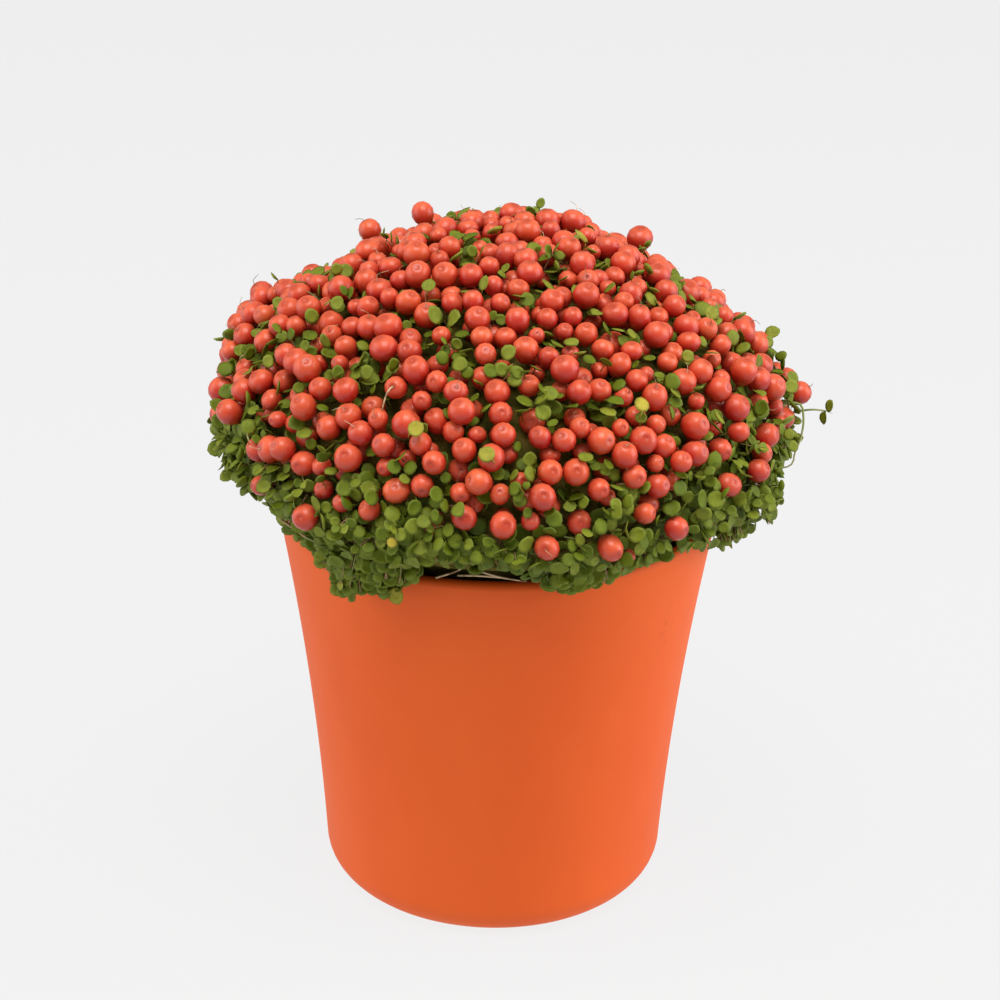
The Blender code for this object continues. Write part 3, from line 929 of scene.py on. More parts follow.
@dataclass(frozen=True)
class Cushion:
    """Form of the cushion: an ellipsoid above its waist, a shallower one below, and lumps."""

    radius: float = 67 * MM
    waist: float = 123.7 * MM
    crown: float = 45 * MM
    skirt: float = 31 * MM
    lumps: tuple[Lump, ...] = (
        Lump(19, 43, -5.0 * MM, 17), Lump(0, 14, 2.5 * MM, 12), Lump(-12, -5, -2.8 * MM, 9),
        Lump(-29, -14, 3.5 * MM, 15), Lump(150, 51, -5.0 * MM, 15),
        Lump(173, 27, 3.0 * MM, 11), Lump(-176, 8, -4.2 * MM, 12),
        Lump(-156, -18, -5.8 * MM, 16),
    )

    @staticmethod
    def heading(rise: float, azimuth: float) -> Vector:
        """Unit vector for a rise above the waist and an azimuth from +X."""
        flat = math.cos(rise)
        return Vector((flat * math.cos(azimuth), flat * math.sin(azimuth), math.sin(rise)))

    def half_height(self, above: float) -> float:
        """Half height of the ellipsoid above the waist, or below it."""
        return self.crown if above > 0 else self.skirt

    def outward(self, place: Vector) -> Vector:
        """Outward direction of the cushion near a point.

        Args:
            place: the point.

        Returns:
            The direction.
        """
        half = self.half_height(place.z - self.waist)
        return Vector((place.x / self.radius ** 2, place.y / self.radius ** 2,
                       (place.z - self.waist) / half ** 2)).normalized()

    def surface(self, rise: float, azimuth: float, lift: float = 0.0) -> tuple[Vector, Vector]:
        """Point over the cushion and the outward direction there.

        Args:
            rise: angle above the waist, in radians.
            azimuth: angle from +X, in radians.
            lift: height over the cushion, in metres.

        Returns:
            The point and the direction.
        """
        half = self.half_height(rise)
        way = self.heading(rise, azimuth)
        out = Vector((way.x / self.radius, way.y / self.radius, way.z / half)).normalized()
        point = Vector((way.x * self.radius, way.y * self.radius, self.waist + way.z * half))
        for lump in self.lumps:
            centre = self.heading(math.radians(lump.rise), math.radians(lump.azimuth))
            lift += lump.lift * math.exp(-(way.angle(centre) / math.radians(lump.spread)) ** 2)
        return point + out * lift, out


@dataclass
class Berry:
    """A berry and the spray that it belongs to."""

    centre: Vector
    radius: float
    spray: int
    facing: Vector | None = None  # way its eye looks, once that is drawn


@dataclass(frozen=True)
class BerryLayer:
    """Berries grown between those of the CAD."""

    count: int
    low: float                    # least lift of a centre off the cushion, in metres
    high: float                   # and the greatest


@dataclass
class BerrySprays:
    """Berries in eight sprays: those of the CAD sprays, and more between and under them."""

    cushion: Cushion
    spray_count: int = 8
    facet: float = 1.13           # corner radius of a faceted berry over its true radius
    smallest: float = 2.5 * MM    # radii of the faceted berries
    largest: float = 3.7 * MM
    trim: float = 0.96            # radius of a fine berry over that of its faceted one
    # Berries that stand out at the edges: place and radius, in millimetres
    edges: tuple[tuple[float, ...], ...] = (
        (-65.2, 7.2, 145.2, 3.0), (-68.4, 7.8, 147.4, 2.6), (-62.2, -21.7, 139.7, 3.2),
        (-55.2, -42.9, 123.9, 2.6), (74.6, -2.3, 134.2, 3.0), (69.5, -4.2, 129.6, 2.8),
        (70.6, 2.0, 139.2, 3.0), (61.8, 9.2, 147.2, 3.0), (61.4, -24.5, 139.2, 3.0),
        (-58.9, 13.6, 154.4, 2.9), (-43.4, 7.6, 161.9, 3.0), (-35.9, 2.2, 165.7, 3.0),
    )
    # Berries in front: azimuth and rise in degrees, lift and radius in millimetres
    front: tuple[tuple[float, ...], ...] = (
        (-120, 4, 3.6, 2.2), (-109, 10, 3.6, 3.0), (-97, 11, 3.2, 2.4), (-84, 4, 3.2, 2.2),
        (-84, 12, 3.8, 3.1), (-71, 11, 3.4, 2.7), (-64, -12, 3.6, 1.4), (-133, 9, 3.2, 2.3),
        (-139, 10, 3.4, 2.6), (-56, 19, 3.6, 2.9), (-50, 21, 3.6, 2.8), (-77, 15, 3.6, 2.9),
        (-81, 20, 3.6, 2.9), (-115, 55, 3.6, 3.2), (-103, 56, 3.4, 2.6), (-116, 64, 3.6, 2.8),
    )
    radii: tuple[float, float] = (2.0 * MM, 3.2 * MM)   # of the berries grown between
    layers: tuple[BerryLayer, ...] = (
        BerryLayer(172, 2.6 * MM, 5.0 * MM), BerryLayer(310, -1.0 * MM, 2.6 * MM))
    # Leafy places that no berry grows in: azimuth and rise, in degrees
    clearings: tuple[tuple[int, int], ...] = (
        (-15, 47), (-17, 36), (-37, 35), (-14, 22), (-40, 26), (-32, 19), (-67, 33), (-58, 52),
        (-99, 36), (-122, 36), (-127, 25), (-144, 38), (-152, 33), (-163, 33),
    )
    clearing: float = 4.8 * MM    # radius of such a place
    clearing_lift: float = 3 * MM
    tries: int = 16000            # most places tried for a layer
    lowest_rise: float = -4.0     # in degrees; no berry grows below it in front and behind
    side_rise: float = 8.0        # nor below this on the left and the right
    dense_rise: float = 18.0      # above it they grow densely in front and behind
    dense_side: float = 44.0      # and above this on the left and the right
    thinning: float = 1.5         # how fast they grow sparse below that
    pressing: float = 0.91        # how close two berries' centres come, over their radii
    cell: float = 7.77 * MM       # of the grid that near berries are sought in
    even: float = 0.985           # least share of a whole face's longest edge in its shortest
    agree: float = 0.3 * MM       # how close the centres that one berry's faces tell lie
    agreeing: int = 3             # faces that it takes to tell a berry
    lean_up: float = 0.15         # how far the eyes turn upwards
    lean_stray: float = 0.3       # and how far they stray
    ripeness: tuple[float, float] = (0.42, 0.22)   # mean and spread of the tints
    segments: int = 12            # faces round a berry
    # Pit of the eye, from its middle: radius, darkness and height, over a berry's radius
    eye: tuple[Triple, ...] = ((0.0, 0.25, 0.86), (0.13, 0.9, 0.872), (0.3, 0.6, 0.93))
    eye_edge: float = 0.2         # darkness of the first ring outside the pit
    rings: tuple[int, ...] = (34, 58, 86, 114, 146)   # turns of its points from the eye
    pear: float = 0.14            # how far a pear shaped one is drawn out at its stalk
    stalk_girth: float = 0.32 * MM
    stalk_bend: float = 2.5 * MM
    stalk_run: float = 1.2 * MM   # that a stalk keeps on behind its berry before it bends
    stalk_depth: float = 9.0 * MM
    thread_share: float = 0.14    # share of the berries that keep a dry thread at the eye
    thread_girths: tuple[float, float, float] = (0.12 * MM, 0.09 * MM, 0.06 * MM)
    seed: int = 31

    def read(self) -> list[Berry]:
        """Find the berries of the CAD sprays from their whole faces.

        Each face of a 20-sided ball tells the ball's radius by its edges and the centre by
        its normal. Three faces that agree make a berry.

        Returns:
            The berries.
        """
        found: list[Berry] = []
        for spray in range(self.spray_count):
            guesses = self._guesses(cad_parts[f"berry_spray_{spray}"].data)
            while guesses:
                first = guesses[0][0]
                same = [guess for guess in guesses if (guess[0] - first).length < self.agree]
                guesses = [guess for guess in guesses if (guess[0] - first).length >= self.agree]
                if len(same) >= self.agreeing:
                    found.append(Berry(first, same[0][1] * self.trim, spray))
        return found

    def _guesses(self, mesh: bpy.types.Mesh) -> list[tuple[Vector, float]]:
        """Centre and true radius that each whole face of a spray tells.

        Args:
            mesh: mesh of the spray.

        Returns:
            The guesses.
        """
        edge_share = 4 / math.sqrt(10 + 2 * math.sqrt(5))     # edge over corner radius
        inner_share = math.sqrt(3) / 12 * (3 + math.sqrt(5)) * edge_share   # flats' radius over it
        bm = bmesh.new()
        bm.from_mesh(mesh)
        bmesh.ops.remove_doubles(bm, verts=bm.verts, dist=MERGE)
        bm.normal_update()
        guesses = []
        for face in bm.faces:
            edges = sorted(edge.calc_length() for edge in face.edges)
            corner = sum(edges) / 3 / edge_share
            whole = edges[0] > self.even * edges[-1]
            if whole and self.smallest < corner / self.facet < self.largest:
                centre = face.calc_center_median() - face.normal * corner * inner_share
                guesses.append((centre, corner / self.facet))
        bm.free()
        return guesses

    def floor_rise(self, azimuth: float) -> float:
        """Rise below which no berry grows at an azimuth, both in radians."""
        return math.radians(self._sideways(self.lowest_rise, self.side_rise, azimuth))

    @staticmethod
    def _sideways(front: float, side: float, azimuth: float) -> float:
        """Level between that of the front and that of the sides, by the azimuth."""
        return front + (side - front) * math.cos(azimuth) ** 2

    def add_edges(self, berries: list[Berry]) -> None:
        """Put the berries at the edges and in front where no berry of the CAD stands.

        Args:
            berries: the berries so far, which grow.
        """
        placed = list(berries)
        chosen = [(Vector((x, y, z)) * MM, radius) for x, y, z, radius in self.edges]
        for azimuth, rise, lift, radius in self.front:
            chosen.append((self.cushion.surface(math.radians(rise), math.radians(azimuth),
                                                lift * MM)[0], radius))
        for centre, radius in chosen:
            nearest = min(placed, key=lambda berry: (berry.centre - centre).length_squared)
            gap = (nearest.centre - centre).length
            if gap > self.pressing * (radius * MM + nearest.radius):
                berries.append(Berry(centre, radius * MM, nearest.spray))

    def add_layer(self, layer: BerryLayer, berries: list[Berry], rng: random.Random) -> None:
        """Grow more berries where they have room.

        Args:
            layer: how many, and how high.
            berries: the berries so far, which grow.
            rng: source of the random draws.
        """
        crowd = Crowd(self.cell)
        for berry in berries:
            crowd.add(berry.centre, berry.radius)
        placed = list(berries)
        clear = [self.cushion.surface(math.radians(rise), math.radians(azimuth),
                                      self.clearing_lift)[0]
                 for azimuth, rise in self.clearings]
        for _ in range(self.tries):
            if len(berries) - len(placed) >= layer.count:
                break
            azimuth = rng.uniform(-math.pi, math.pi)
            low = self.floor_rise(azimuth)
            dense = math.radians(self._sideways(self.dense_rise, self.dense_side, azimuth))
            rise = math.asin(rng.uniform(math.sin(low), 1.0))
            if rng.random() > ((rise - low) / (dense - low)) ** self.thinning:
                continue
            centre, _ = self.cushion.surface(rise, azimuth, rng.uniform(layer.low, layer.high))
            if any((centre - middle).length < self.clearing for middle in clear):
                continue
            radius = rng.uniform(*self.radii)
            if all((centre - other).length > self.pressing * (radius + wide)
                   for other, wide in crowd.near(centre)):
                nearest = min(placed, key=lambda berry: (berry.centre - centre).length_squared)
                berries.append(Berry(centre, radius, nearest.spray))
                crowd.add(centre, radius)

    def shapes(self) -> bpy.types.Collection:
        """Berry shapes of unit radius: a round one and a slightly pear shaped one.

        Returns:
            A collection that isn't in the scene.
        """
        shapes = bpy.data.collections.new("berry_shapes")
        for label, neck in (("berry_round", 0.0), ("berry_pear", self.pear)):
            profile = list(self.eye)
            for turn in self.rings:
                polar = math.radians(turn)
                slim = 1 - neck * max(0.0, -math.cos(polar))
                dark = self.eye_edge if turn == self.rings[0] else 0.0
                profile.append((math.sin(polar) * slim, dark,
                                math.cos(polar) * (1 + neck * (turn > 90))))
            profile.append((0.0, 0.0, -(1 + neck)))
            shapes.objects.link(self._turned_berry(label, profile))
        return shapes

    def _turned_berry(self, name: str, profile: list[Triple]) -> bpy.types.Object:
        """Turn a berry from (radius, eye's darkness, height) points.

        Args:
            name: name of the shape.
            profile: points from the eye down to the stalk's end.

        Returns:
            The shape, which isn't in the scene.
        """
        bm = bmesh.new()
        eye = bm.verts.layers.float.new("eye")
        under = bm.verts.layers.float.new("under")
        rings = []
        for radius, dark, height in profile:
            ring = []
            for turn in range(self.segments if radius else 1):
                angle = math.tau * turn / self.segments
                vert = bm.verts.new((radius * math.cos(angle), radius * math.sin(angle), height))
                vert[eye] = dark
                vert[under] = (1 - height) / 2
                ring.append(vert)
            rings.append(ring)
        bridge(bm, rings)
        return shape_object(name, bm)

    def _stalks(self, berries: list[Berry], tubes: "TubeTree", rng: random.Random) -> None:
        """Lay a stalk from each berry down into the cushion, and a thread on some eyes.

        Args:
            berries: the berries.
            tubes: the tree that runs tubes along paths.
            rng: source of the random draws.
        """
        stalks, threads = [], []
        for berry in berries:
            out = self.cushion.outward(berry.centre)
            base = berry.centre - berry.facing * berry.radius * 0.9
            bend = base - out * self.stalk_bend - berry.facing * self.stalk_run
            foot = berry.centre - out * self.stalk_depth
            stalks.append([(base, self.stalk_girth), (bend, self.stalk_girth * 0.8),
                           (foot, self.stalk_girth * 1.2)])
            if rng.random() < self.thread_share:
                side = berry.facing.cross(scatter(rng, 1.0)).normalized() * berry.radius
                ahead = berry.facing * berry.radius
                reach = rng.uniform(0.5, 1.1)
                places = (berry.centre + ahead * 0.8,
                          berry.centre + ahead * (1 + 0.35 * reach) + side * 0.15,
                          berry.centre + ahead * (1 + 0.6 * reach) + side * reach)
                threads.append(list(zip(places, self.thread_girths)))
        sprays = [f"berry_spray_{spray}" for spray in range(self.spray_count)]
        settle(tubes.lay("berry_stalks", stalks, StemBark(), step=2.4 * MM, sides=4),
               "berry_coral", *sprays)
        settle(tubes.lay("berry_threads", threads, DryTwig(), step=0.8 * MM, sides=3),
               "berry_coral", *sprays)

    def build(self, copies: CopyTree, tubes: TubeTree) -> list[Berry]:
        """Grow the berries, one piece for each spray, and their stalks.

        Args:
            copies: the tree that puts shapes on sites.
            tubes: the tree that runs tubes along paths.

        Returns:
            All the berries.
        """
        rng = random.Random(self.seed)
        berries = self.read()
        self.add_edges(berries)
        for layer in self.layers:
            log.info("berries so far: %d", len(berries))
            self.add_layer(layer, berries, rng)
        log.info("berries in all: %d", len(berries))
        for berry in berries:
            stray = scatter(rng, self.lean_stray)
            out = self.cushion.outward(berry.centre)
            berry.facing = (out + UP * self.lean_up + stray).normalized()
        shapes = self.shapes()
        for spray in range(self.spray_count):
            sites = Sites.named(f"berries_{spray}")
            for berry in berries:
                if berry.spray == spray:
                    toward = scatter(rng, 1.0)
                    shade = min(1.0, max(0.0, rng.gauss(*self.ripeness)))
                    sites.add(berry.centre, berry.facing, toward, berry.radius, shade)
            piece = copies.grow(sites, shapes, BerrySkin(), self.seed + spray,
                                stretch=0.09, spread=0.06)
            settle(piece, "berry_coral", f"berry_spray_{spray}")
        self._stalks(berries, tubes, rng)
        return berries


class LeafForm(Enum):
    """How a blade is curved: its cup, and its fold along the middle, over its half length."""

    CUPPED = (0.34, 0.0)
    SHALLOW = (0.12, 0.10)
    FOLDED = (0.10, 0.30)
    DOMED = (-0.14, 0.06)


@dataclass(frozen=True)
class LeafBand:
    """A band of the cushion and how its leaves grow."""

    name: str
    count: int                    # stem tips, each with a pair of leaves
    low: float                    # rise of the band, in degrees
    high: float
    lifts: tuple[float, float]    # height over the cushion, in metres
    skyward: float                # how far blades turn from outwards to upwards
    stray: float                  # how far they stray from that
    girth: tuple[float, float]    # half length of a blade, in metres
    shade: tuple[float, float]    # tints at the band's foot and head
    spacing: float                # least distance between the middles of two blades


@dataclass(frozen=True)
class HangingLock:
    """A stretch of the fringe that hangs lower over the rim, or ends higher."""

    azimuth: float                # in degrees
    spread: float
    drop: float                   # of the leaves close to the rim, in metres
    far: float = 0.0              # drop of those farther out


@dataclass(frozen=True)
class SprigBand:
    """Leafy stem tips that grow out of the cushion."""

    count: int
    low: float                    # rise of their roots, in degrees
    high: float
    length: tuple[float, float]   # in metres
    fan: float                    # how far they turn sideways
    droop: float                  # how fast they bend down
    azimuth: float = 0.0          # middle of the band, in degrees
    reach: float = 180.0          # how far it goes on either side
    dip: float = 0.0              # how steeply they set off downwards


@dataclass
class LeafCover:
    """Small round leaves in pairs that cover the cushion, and sprigs that hang over the rim."""

    cushion: Cushion
    pot: "CoverPot"
    berries: list[Berry]
    outline: int = 10             # points round a blade
    middle: float = 0.62          # size of the ring between a blade's centre and its rim
    breadth: float = 0.96         # of a blade, over its length
    base: float = 0.97            # reach of its base and its sides, over its half length
    tip: float = 1.06             # and of its tip
    thickness: float = 0.10       # of a blade, over its half length
    stalk_girth: float = 0.08     # also over it
    shrink: float = 0.8           # of a leaf that finds no room at its full size
    clearance: float = 0.1 * MM   # between a blade and a berry
    pot_clearance: float = 0.3 * MM
    vee: float = 0.4              # how far the two leaves of a pair rise away from each other
    rise_jitter: float = 0.02     # of the stem tips off their spiral, in radians
    turn_jitter: float = 0.03
    berry_cell: float = 7 * MM    # cells in which berries are looked up
    leaf_cell: float = 2.4 * MM   # and leaves
    seed: int = 47
    bands: tuple[LeafBand, ...] = (
        LeafBand("leaves_crown", 1450, 14, 90, (2.4 * MM, 5.8 * MM), 0.35, 0.42,
                 (1.7 * MM, 2.5 * MM), (0.38, 0.70), 1.9 * MM),
        LeafBand("leaves_skirt", 1500, -26, 14, (1.4 * MM, 5.8 * MM), 0.35, 0.42,
                 (1.7 * MM, 2.6 * MM), (0.22, 0.62), 1.8 * MM),
        LeafBand("leaves_between", 1300, 6, 90, (0.8 * MM, 3.6 * MM), 0.3, 0.42,
                 (1.8 * MM, 2.6 * MM), (0.26, 0.52), 1.9 * MM),
        # The leaves under the berries get the darkest tints, as painted shade.
        LeafBand("leaves_under", 1500, -26, 90, (-0.5 * MM, 1.6 * MM), 0.0, 0.35,
                 (2.2 * MM, 3.0 * MM), (0.12, 0.50), 2.4 * MM),
    )
    sprigs: tuple[SprigBand, ...] = (
        SprigBand(190, -30, -12, (5 * MM, 13 * MM), 0.5, 0.26),
        SprigBand(110, -12, 14, (2.5 * MM, 5.2 * MM), 0.6, 0.04),
        SprigBand(54, -28, -16, (10 * MM, 18 * MM), 0.2, 0.3, -121, 12, 1.6),
        SprigBand(16, -32, -20, (8 * MM, 12 * MM), 0.3, 0.42, -72, 8, 0.6),
        SprigBand(34, -28, -14, (11 * MM, 18 * MM), 0.3, 0.3, -20, 10, 2.0),
        SprigBand(10, -28, -18, (8 * MM, 13 * MM), 0.2, 0.3, -142, 3, 2.2),
        SprigBand(50, 28, 78, (4 * MM, 6.8 * MM), 0.5, 0.03),
    )
    sprig_girth: float = 0.22 * MM
    sprig_step: float = 1.3 * MM  # along a sprig, with a pair of leaves at each second step
    sprig_stray: float = 0.1      # how far a sprig wanders at a step
    sprig_leaf: tuple[float, float] = (1.9, 2.6)      # half length of a blade, in millimetres
    sprig_shade: tuple[float, float] = (0.32, 0.6)
    sprig_spacing: float = 1.5 * MM
    sprig_off: float = 1.8 * MM   # how far a sprig stays outside the rim
    taper: float = 0.35           # how much smaller the last leaves of a sprig are
    fringe_foot: float = 105.2 * MM
    fringe_inside: float = 3 * MM     # the foot holds this far inside the rim's edge
    fringe_slope: float = 0.55    # how steeply the fringe's foot rises outside the rim
    lock_reach: float = 67 * MM   # distance from the axis where the far drop holds
    lock_fade: float = 5 * MM     # stretch over which the one turns into the other
    locks: tuple[HangingLock, ...] = (
        HangingLock(-126, 7, 11.0 * MM, -2.5 * MM), HangingLock(-114, 6, 6.5 * MM),
        HangingLock(-142, 4, 7.0 * MM), HangingLock(-146, 13, -6.0 * MM, -7.0 * MM),
        HangingLock(-75, 7, 4.2 * MM), HangingLock(-64, 5, 2.6 * MM),
        HangingLock(-39, 8, 2.0 * MM, -2.0 * MM), HangingLock(-93, 13, -2.6 * MM, -2.6 * MM),
        HangingLock(-17, 8, 9.5 * MM), HangingLock(-29, 5, 4.0 * MM),
        HangingLock(-23, 6, 0.0, 5.0 * MM),
        HangingLock(180, 12, -3.0 * MM, -3.0 * MM),
        HangingLock(40, 10, 2.0 * MM), HangingLock(95, 10, 3.0 * MM),
        HangingLock(150, 10, 3.0 * MM),
    )
    spacing: float = field(init=False, default=0.0)
    fruit: Crowd = field(init=False)
    leaves: Crowd = field(init=False)
    stems: list[Path3D] = field(init=False, default_factory=list)

    def shapes(self) -> bpy.types.Collection:
        """Blades of unit half length on a short stalk, one for each form.

        Returns:
            A collection that isn't in the scene.
        """
        shapes = bpy.data.collections.new("leaf_shapes")
        for form in LeafForm:
            shapes.objects.link(self._blade(f"leaf_{form.name.lower()}", *form.value))
        return shapes

    def _blade(self, name: str, cup: float, fold: float) -> bpy.types.Object:
        """A closed round blade with a blunt tip, and a centre and a middle ring on both faces.

        Args:
            name: name of the shape.
            cup: lift of its rim over its centre.
            fold: lift of its two sides over its middle line.

        Returns:
            The shape, which isn't in the scene.
        """
        bm = bmesh.new()
        rim_layer = bm.verts.layers.float.new("rim")
        half = self.thickness / 2
        rings = []
        for share, side in ((0.0, 1), (self.middle, 1), (1.0, 0), (self.middle, -1), (0.0, -1)):
            ring = []
            for point in range(self.outline if share else 1):
                turn = math.tau * point / self.outline
                along = share * math.cos(turn) * (self.tip if point == 0 else self.base)
                across = share * self.breadth * math.sin(turn)
                lift = cup * share ** 2 + fold * abs(across) + half * side
                vert = bm.verts.new((across, along, lift))
                vert[rim_layer] = share
                ring.append(vert)
            rings.append(ring)
        bridge(bm, rings)
        self._stalk(bm, cup)
        return shape_object(name, bm)

    def _stalk(self, bm: bmesh.types.BMesh, cup: float) -> None:
        """Add a three-sided stalk that leaves the blade's base and bends down.

        Args:
            bm: mesh of the blade.
            cup: lift of the blade's rim.
        """
        rings = []
        for along, height in ((-0.72, cup * 0.5), (-1.12, cup - 0.2), (-1.3, cup - 1.1)):
            rings.append([bm.verts.new((self.stalk_girth * math.sin(turn), along,
                                        height + self.stalk_girth * math.cos(turn)))
                          for turn in (0.0, math.tau / 3, 2 * math.tau / 3)])
        bridge(bm, rings)
        bm.faces.new(rings[0])
        bm.faces.new(reversed(rings[-1]))

    def _touches(self, place: Vector, facing: Vector, girth: float,
                 near: list[tuple[Vector, float]]) -> bool:
        """Whether a blade would cut one of the berries round it.

        Args:
            place: middle of the blade.
            facing: way its upper face looks.
            girth: its half length.
            near: centres and radii of the berries.

        Returns:
            True where it would.
        """
        for centre, radius in near:
            away = centre - place
            height = away.dot(facing)
            outside = max(0.0, (away - facing * height).length - girth)
            if math.hypot(height, outside) < radius + self.clearance:
                return True
        return False

    def _meets_pot(self, place: Vector, facing: Vector, girth: float) -> bool:
        """Whether a blade would cut the pot's wall or hang below the fringe's foot.

        Args:
            place: middle of the blade.
            facing: way its upper face looks.
            girth: its half length.

        Returns:
            True where it would.
        """
        flat = Vector((place.x, place.y, 0.0))
        reach = flat.length
        low = place.z - girth * math.sqrt(max(0.0, 1 - facing.z ** 2))
        if reach > self.pot.rim_radius - self.fringe_inside and low < self.foot(place):
            return True
        inner = reach - girth * math.sqrt(max(0.0, 1 - facing.dot(flat / reach) ** 2))
        return (low < self.pot.height + self.pot_clearance
                and inner < self.pot.rim_radius + self.pot_clearance)

    def _add(self, sites: Sites, place: Vector, facing: Vector, toward: Vector, girth: float,
             shade: float) -> bool:
        """Add a leaf where it has room, a smaller one where it must.

        Args:
            sites: the piece's sites, which grow.
            place: middle of the blade.
            facing: way it should look.
            toward: way its tip points.
            girth: its half length.
            shade: its tint.

        Returns:
            Whether there was room.
        """
        if any((place - other).length < self.spacing for other, _ in self.leaves.near(place)):
            return False
        near = self.fruit.near(place)
        for size in (girth, girth * self.shrink):
            if self._touches(place, facing, size, near) or self._meets_pot(place, facing, size):
                continue
            sites.add(place, facing, toward, size, shade)
            self.leaves.add(place, size)
            return True
        return False

    def _pair(self, sites: Sites, tip: Vector, facing: Vector, girth: float, shade: float,
              rng: random.Random) -> None:
        """Add two leaves on either side of a stem's tip, rising away from it.

        Args:
            sites: the piece's sites, which grow.
            tip: the stem's tip.
            facing: way that the pair looks.
            girth: half length of the blades.
            shade: their tint.
            rng: source of the random draws.
        """
        side = facing.cross(scatter(rng, 1.0)).normalized()
        for way in (side, -side):
            look = (facing - way * self.vee * rng.uniform(0.4, 1.6)).normalized()
            self._add(sites, tip + way * girth * 0.95, look, way, girth * rng.uniform(0.85, 1.0),
                      shade)

    def _band_sites(self, band: LeafBand, rng: random.Random) -> Sites:
        """Sites of a band's leaves, on a spiral with jitter.

        Args:
            band: the band.
            rng: source of the random draws.

        Returns:
            The sites.
        """
        sites = Sites.named(band.name)
        self.spacing = band.spacing
        low, high = math.sin(math.radians(band.low)), math.sin(math.radians(band.high))
        for index in range(band.count):
            level = (index + 0.5) / band.count
            rise = math.asin(low + (high - low) * level) + rng.gauss(0.0, self.rise_jitter)
            azimuth = index * GOLDEN_ANGLE + rng.gauss(0.0, self.turn_jitter)
            lift = rng.uniform(*band.lifts)
            place, out = self.cushion.surface(rise, azimuth, lift)
            facing = (out + UP * band.skyward + scatter(rng, band.stray)).normalized()
            # Tints rise from the band's foot to its head; leaves set deeper towards the cushion get
            # darker tints, as painted shade.
            depth = (lift - band.lifts[0]) / (band.lifts[1] - band.lifts[0])
            shade = band.shade[0] + (band.shade[1] - band.shade[0]) * (0.4 * level + 0.6 * depth)
            self._pair(sites, place, facing, rng.uniform(*band.girth), shade, rng)
        return sites

    def foot(self, place: Vector) -> float:
        """Height of the fringe's foot under or over a place.

        Args:
            place: the place.

        Returns:
            The height of the foot.
        """
        reach = place.xy.length
        height = self.fringe_foot + self.fringe_slope * max(0.0, reach - self.pot.rim_radius)
        near = min(1.0, max(0.0, (self.lock_reach - reach) / self.lock_fade))
        azimuth = math.atan2(place.y, place.x)
        for lock in self.locks:
            apart = math.remainder(azimuth - math.radians(lock.azimuth), math.tau)
            drop = lock.far + (lock.drop - lock.far) * near
            height -= drop * math.exp(-(apart / math.radians(lock.spread)) ** 2)
        return height

    def _sprig(self, sites: Sites, start: Vector, way: Vector, length: float, droop: float,
               rng: random.Random) -> None:
        """Grow a stem with pairs of leaves along it, smaller towards its tip.

        Args:
            sites: the piece's sites, which grow.
            start: root of the stem.
            way: way that it sets off.
            length: its length.
            droop: how fast it bends down.
            rng: source of the random draws.
        """
        count = round(length / self.sprig_step)
        girth = rng.uniform(*self.sprig_leaf) * MM
        shade = rng.uniform(*self.sprig_shade)
        path = [(start, self.sprig_girth)]
        place = start
        least = self.pot.rim_radius + self.sprig_off
        for index in range(1, count + 1):
            way = (way - UP * droop + scatter(rng, self.sprig_stray)).normalized()
            place = place + way * self.sprig_step
            flat = Vector((place.x, place.y, 0.0))
            if place.z < self.pot.height + MM and flat.length < least:
                place = flat.normalized() * least + UP * place.z
            if place.z < self.foot(place) + MM:
                break
            path.append((place, self.sprig_girth * (1 - 0.4 * index / count)))
            if index % 2:
                continue
            out = self.cushion.outward(place)
            out = (Vector((out.x, out.y, 0.0)).normalized() + UP * 0.45).normalized()
            across = way.cross(out).normalized()
            size = girth * (1 - self.taper * index / count)
            for side in (across, -across):
                look = (out - side * 0.3 + scatter(rng, 0.2)).normalized()
                self._add(sites, place + side * size * 1.05, look,
                          (side + way * 0.5).normalized(), size, shade)
        if len(path) > 2:
            self.stems.append(path)
            look = self.cushion.outward(place) + UP * 0.3
            self._add(sites, place + way * girth * 0.6, (look - way * look.dot(way)).normalized(),
                      way, girth * 0.6, shade + 0.1)

    def _sprig_sites(self, rng: random.Random) -> Sites:
        """Sites of the sprigs' leaves, and the paths of their stems.

        Args:
            rng: source of the random draws.

        Returns:
            The sites.
        """
        sites = Sites.named("leaves_sprigs")
        self.spacing = self.sprig_spacing
        for band in self.sprigs:
            for index in range(band.count):
                share = math.remainder(index * GOLDEN_ANGLE, math.tau) / math.pi
                azimuth = math.radians(band.azimuth + band.reach * share)
                rise = math.radians(rng.uniform(band.low, band.high))
                start, out = self.cushion.surface(rise, azimuth, (1.5 - 2 * band.dip) * MM)
                along = UP.cross(out).normalized()
                rising = rng.gauss(0.0, 0.25) - band.dip
                way = out + along * rng.gauss(0.0, band.fan) + UP * rising
                self._sprig(sites, start, way.normalized(), rng.uniform(*band.length),
                            band.droop, rng)
        return sites

    def build(self, copies: CopyTree, tubes: TubeTree) -> bpy.types.Collection:
        """Grow the leaves, one piece for each band, and the sprigs' stems.

        Args:
            copies: the tree that puts shapes on sites.
            tubes: the tree that runs tubes along paths.

        Returns:
            The leaf shapes.
        """
        rng = random.Random(self.seed)
        self.fruit, self.leaves = Crowd(self.berry_cell), Crowd(self.leaf_cell)
        for berry in self.berries:
            self.fruit.add(berry.centre, berry.radius)
        shapes = self.shapes()
        grown = [self._sprig_sites(rng)] + [self._band_sites(band, rng) for band in self.bands]
        for number, sites in enumerate(grown):
            piece = copies.grow(sites, shapes, LeafSkin(), self.seed + number,
                                stretch=0.12, spread=0.27)
            settle(piece, "leaf_green", "leaf_cushion")
            log.info("%s: %d leaves", sites.name, len(sites.places))
        stems = tubes.lay("sprig_stems", self.stems, StemBark(), step=1.6 * MM, sides=4)
        settle(stems, "leaf_green", "leaf_cushion")
        return shapes


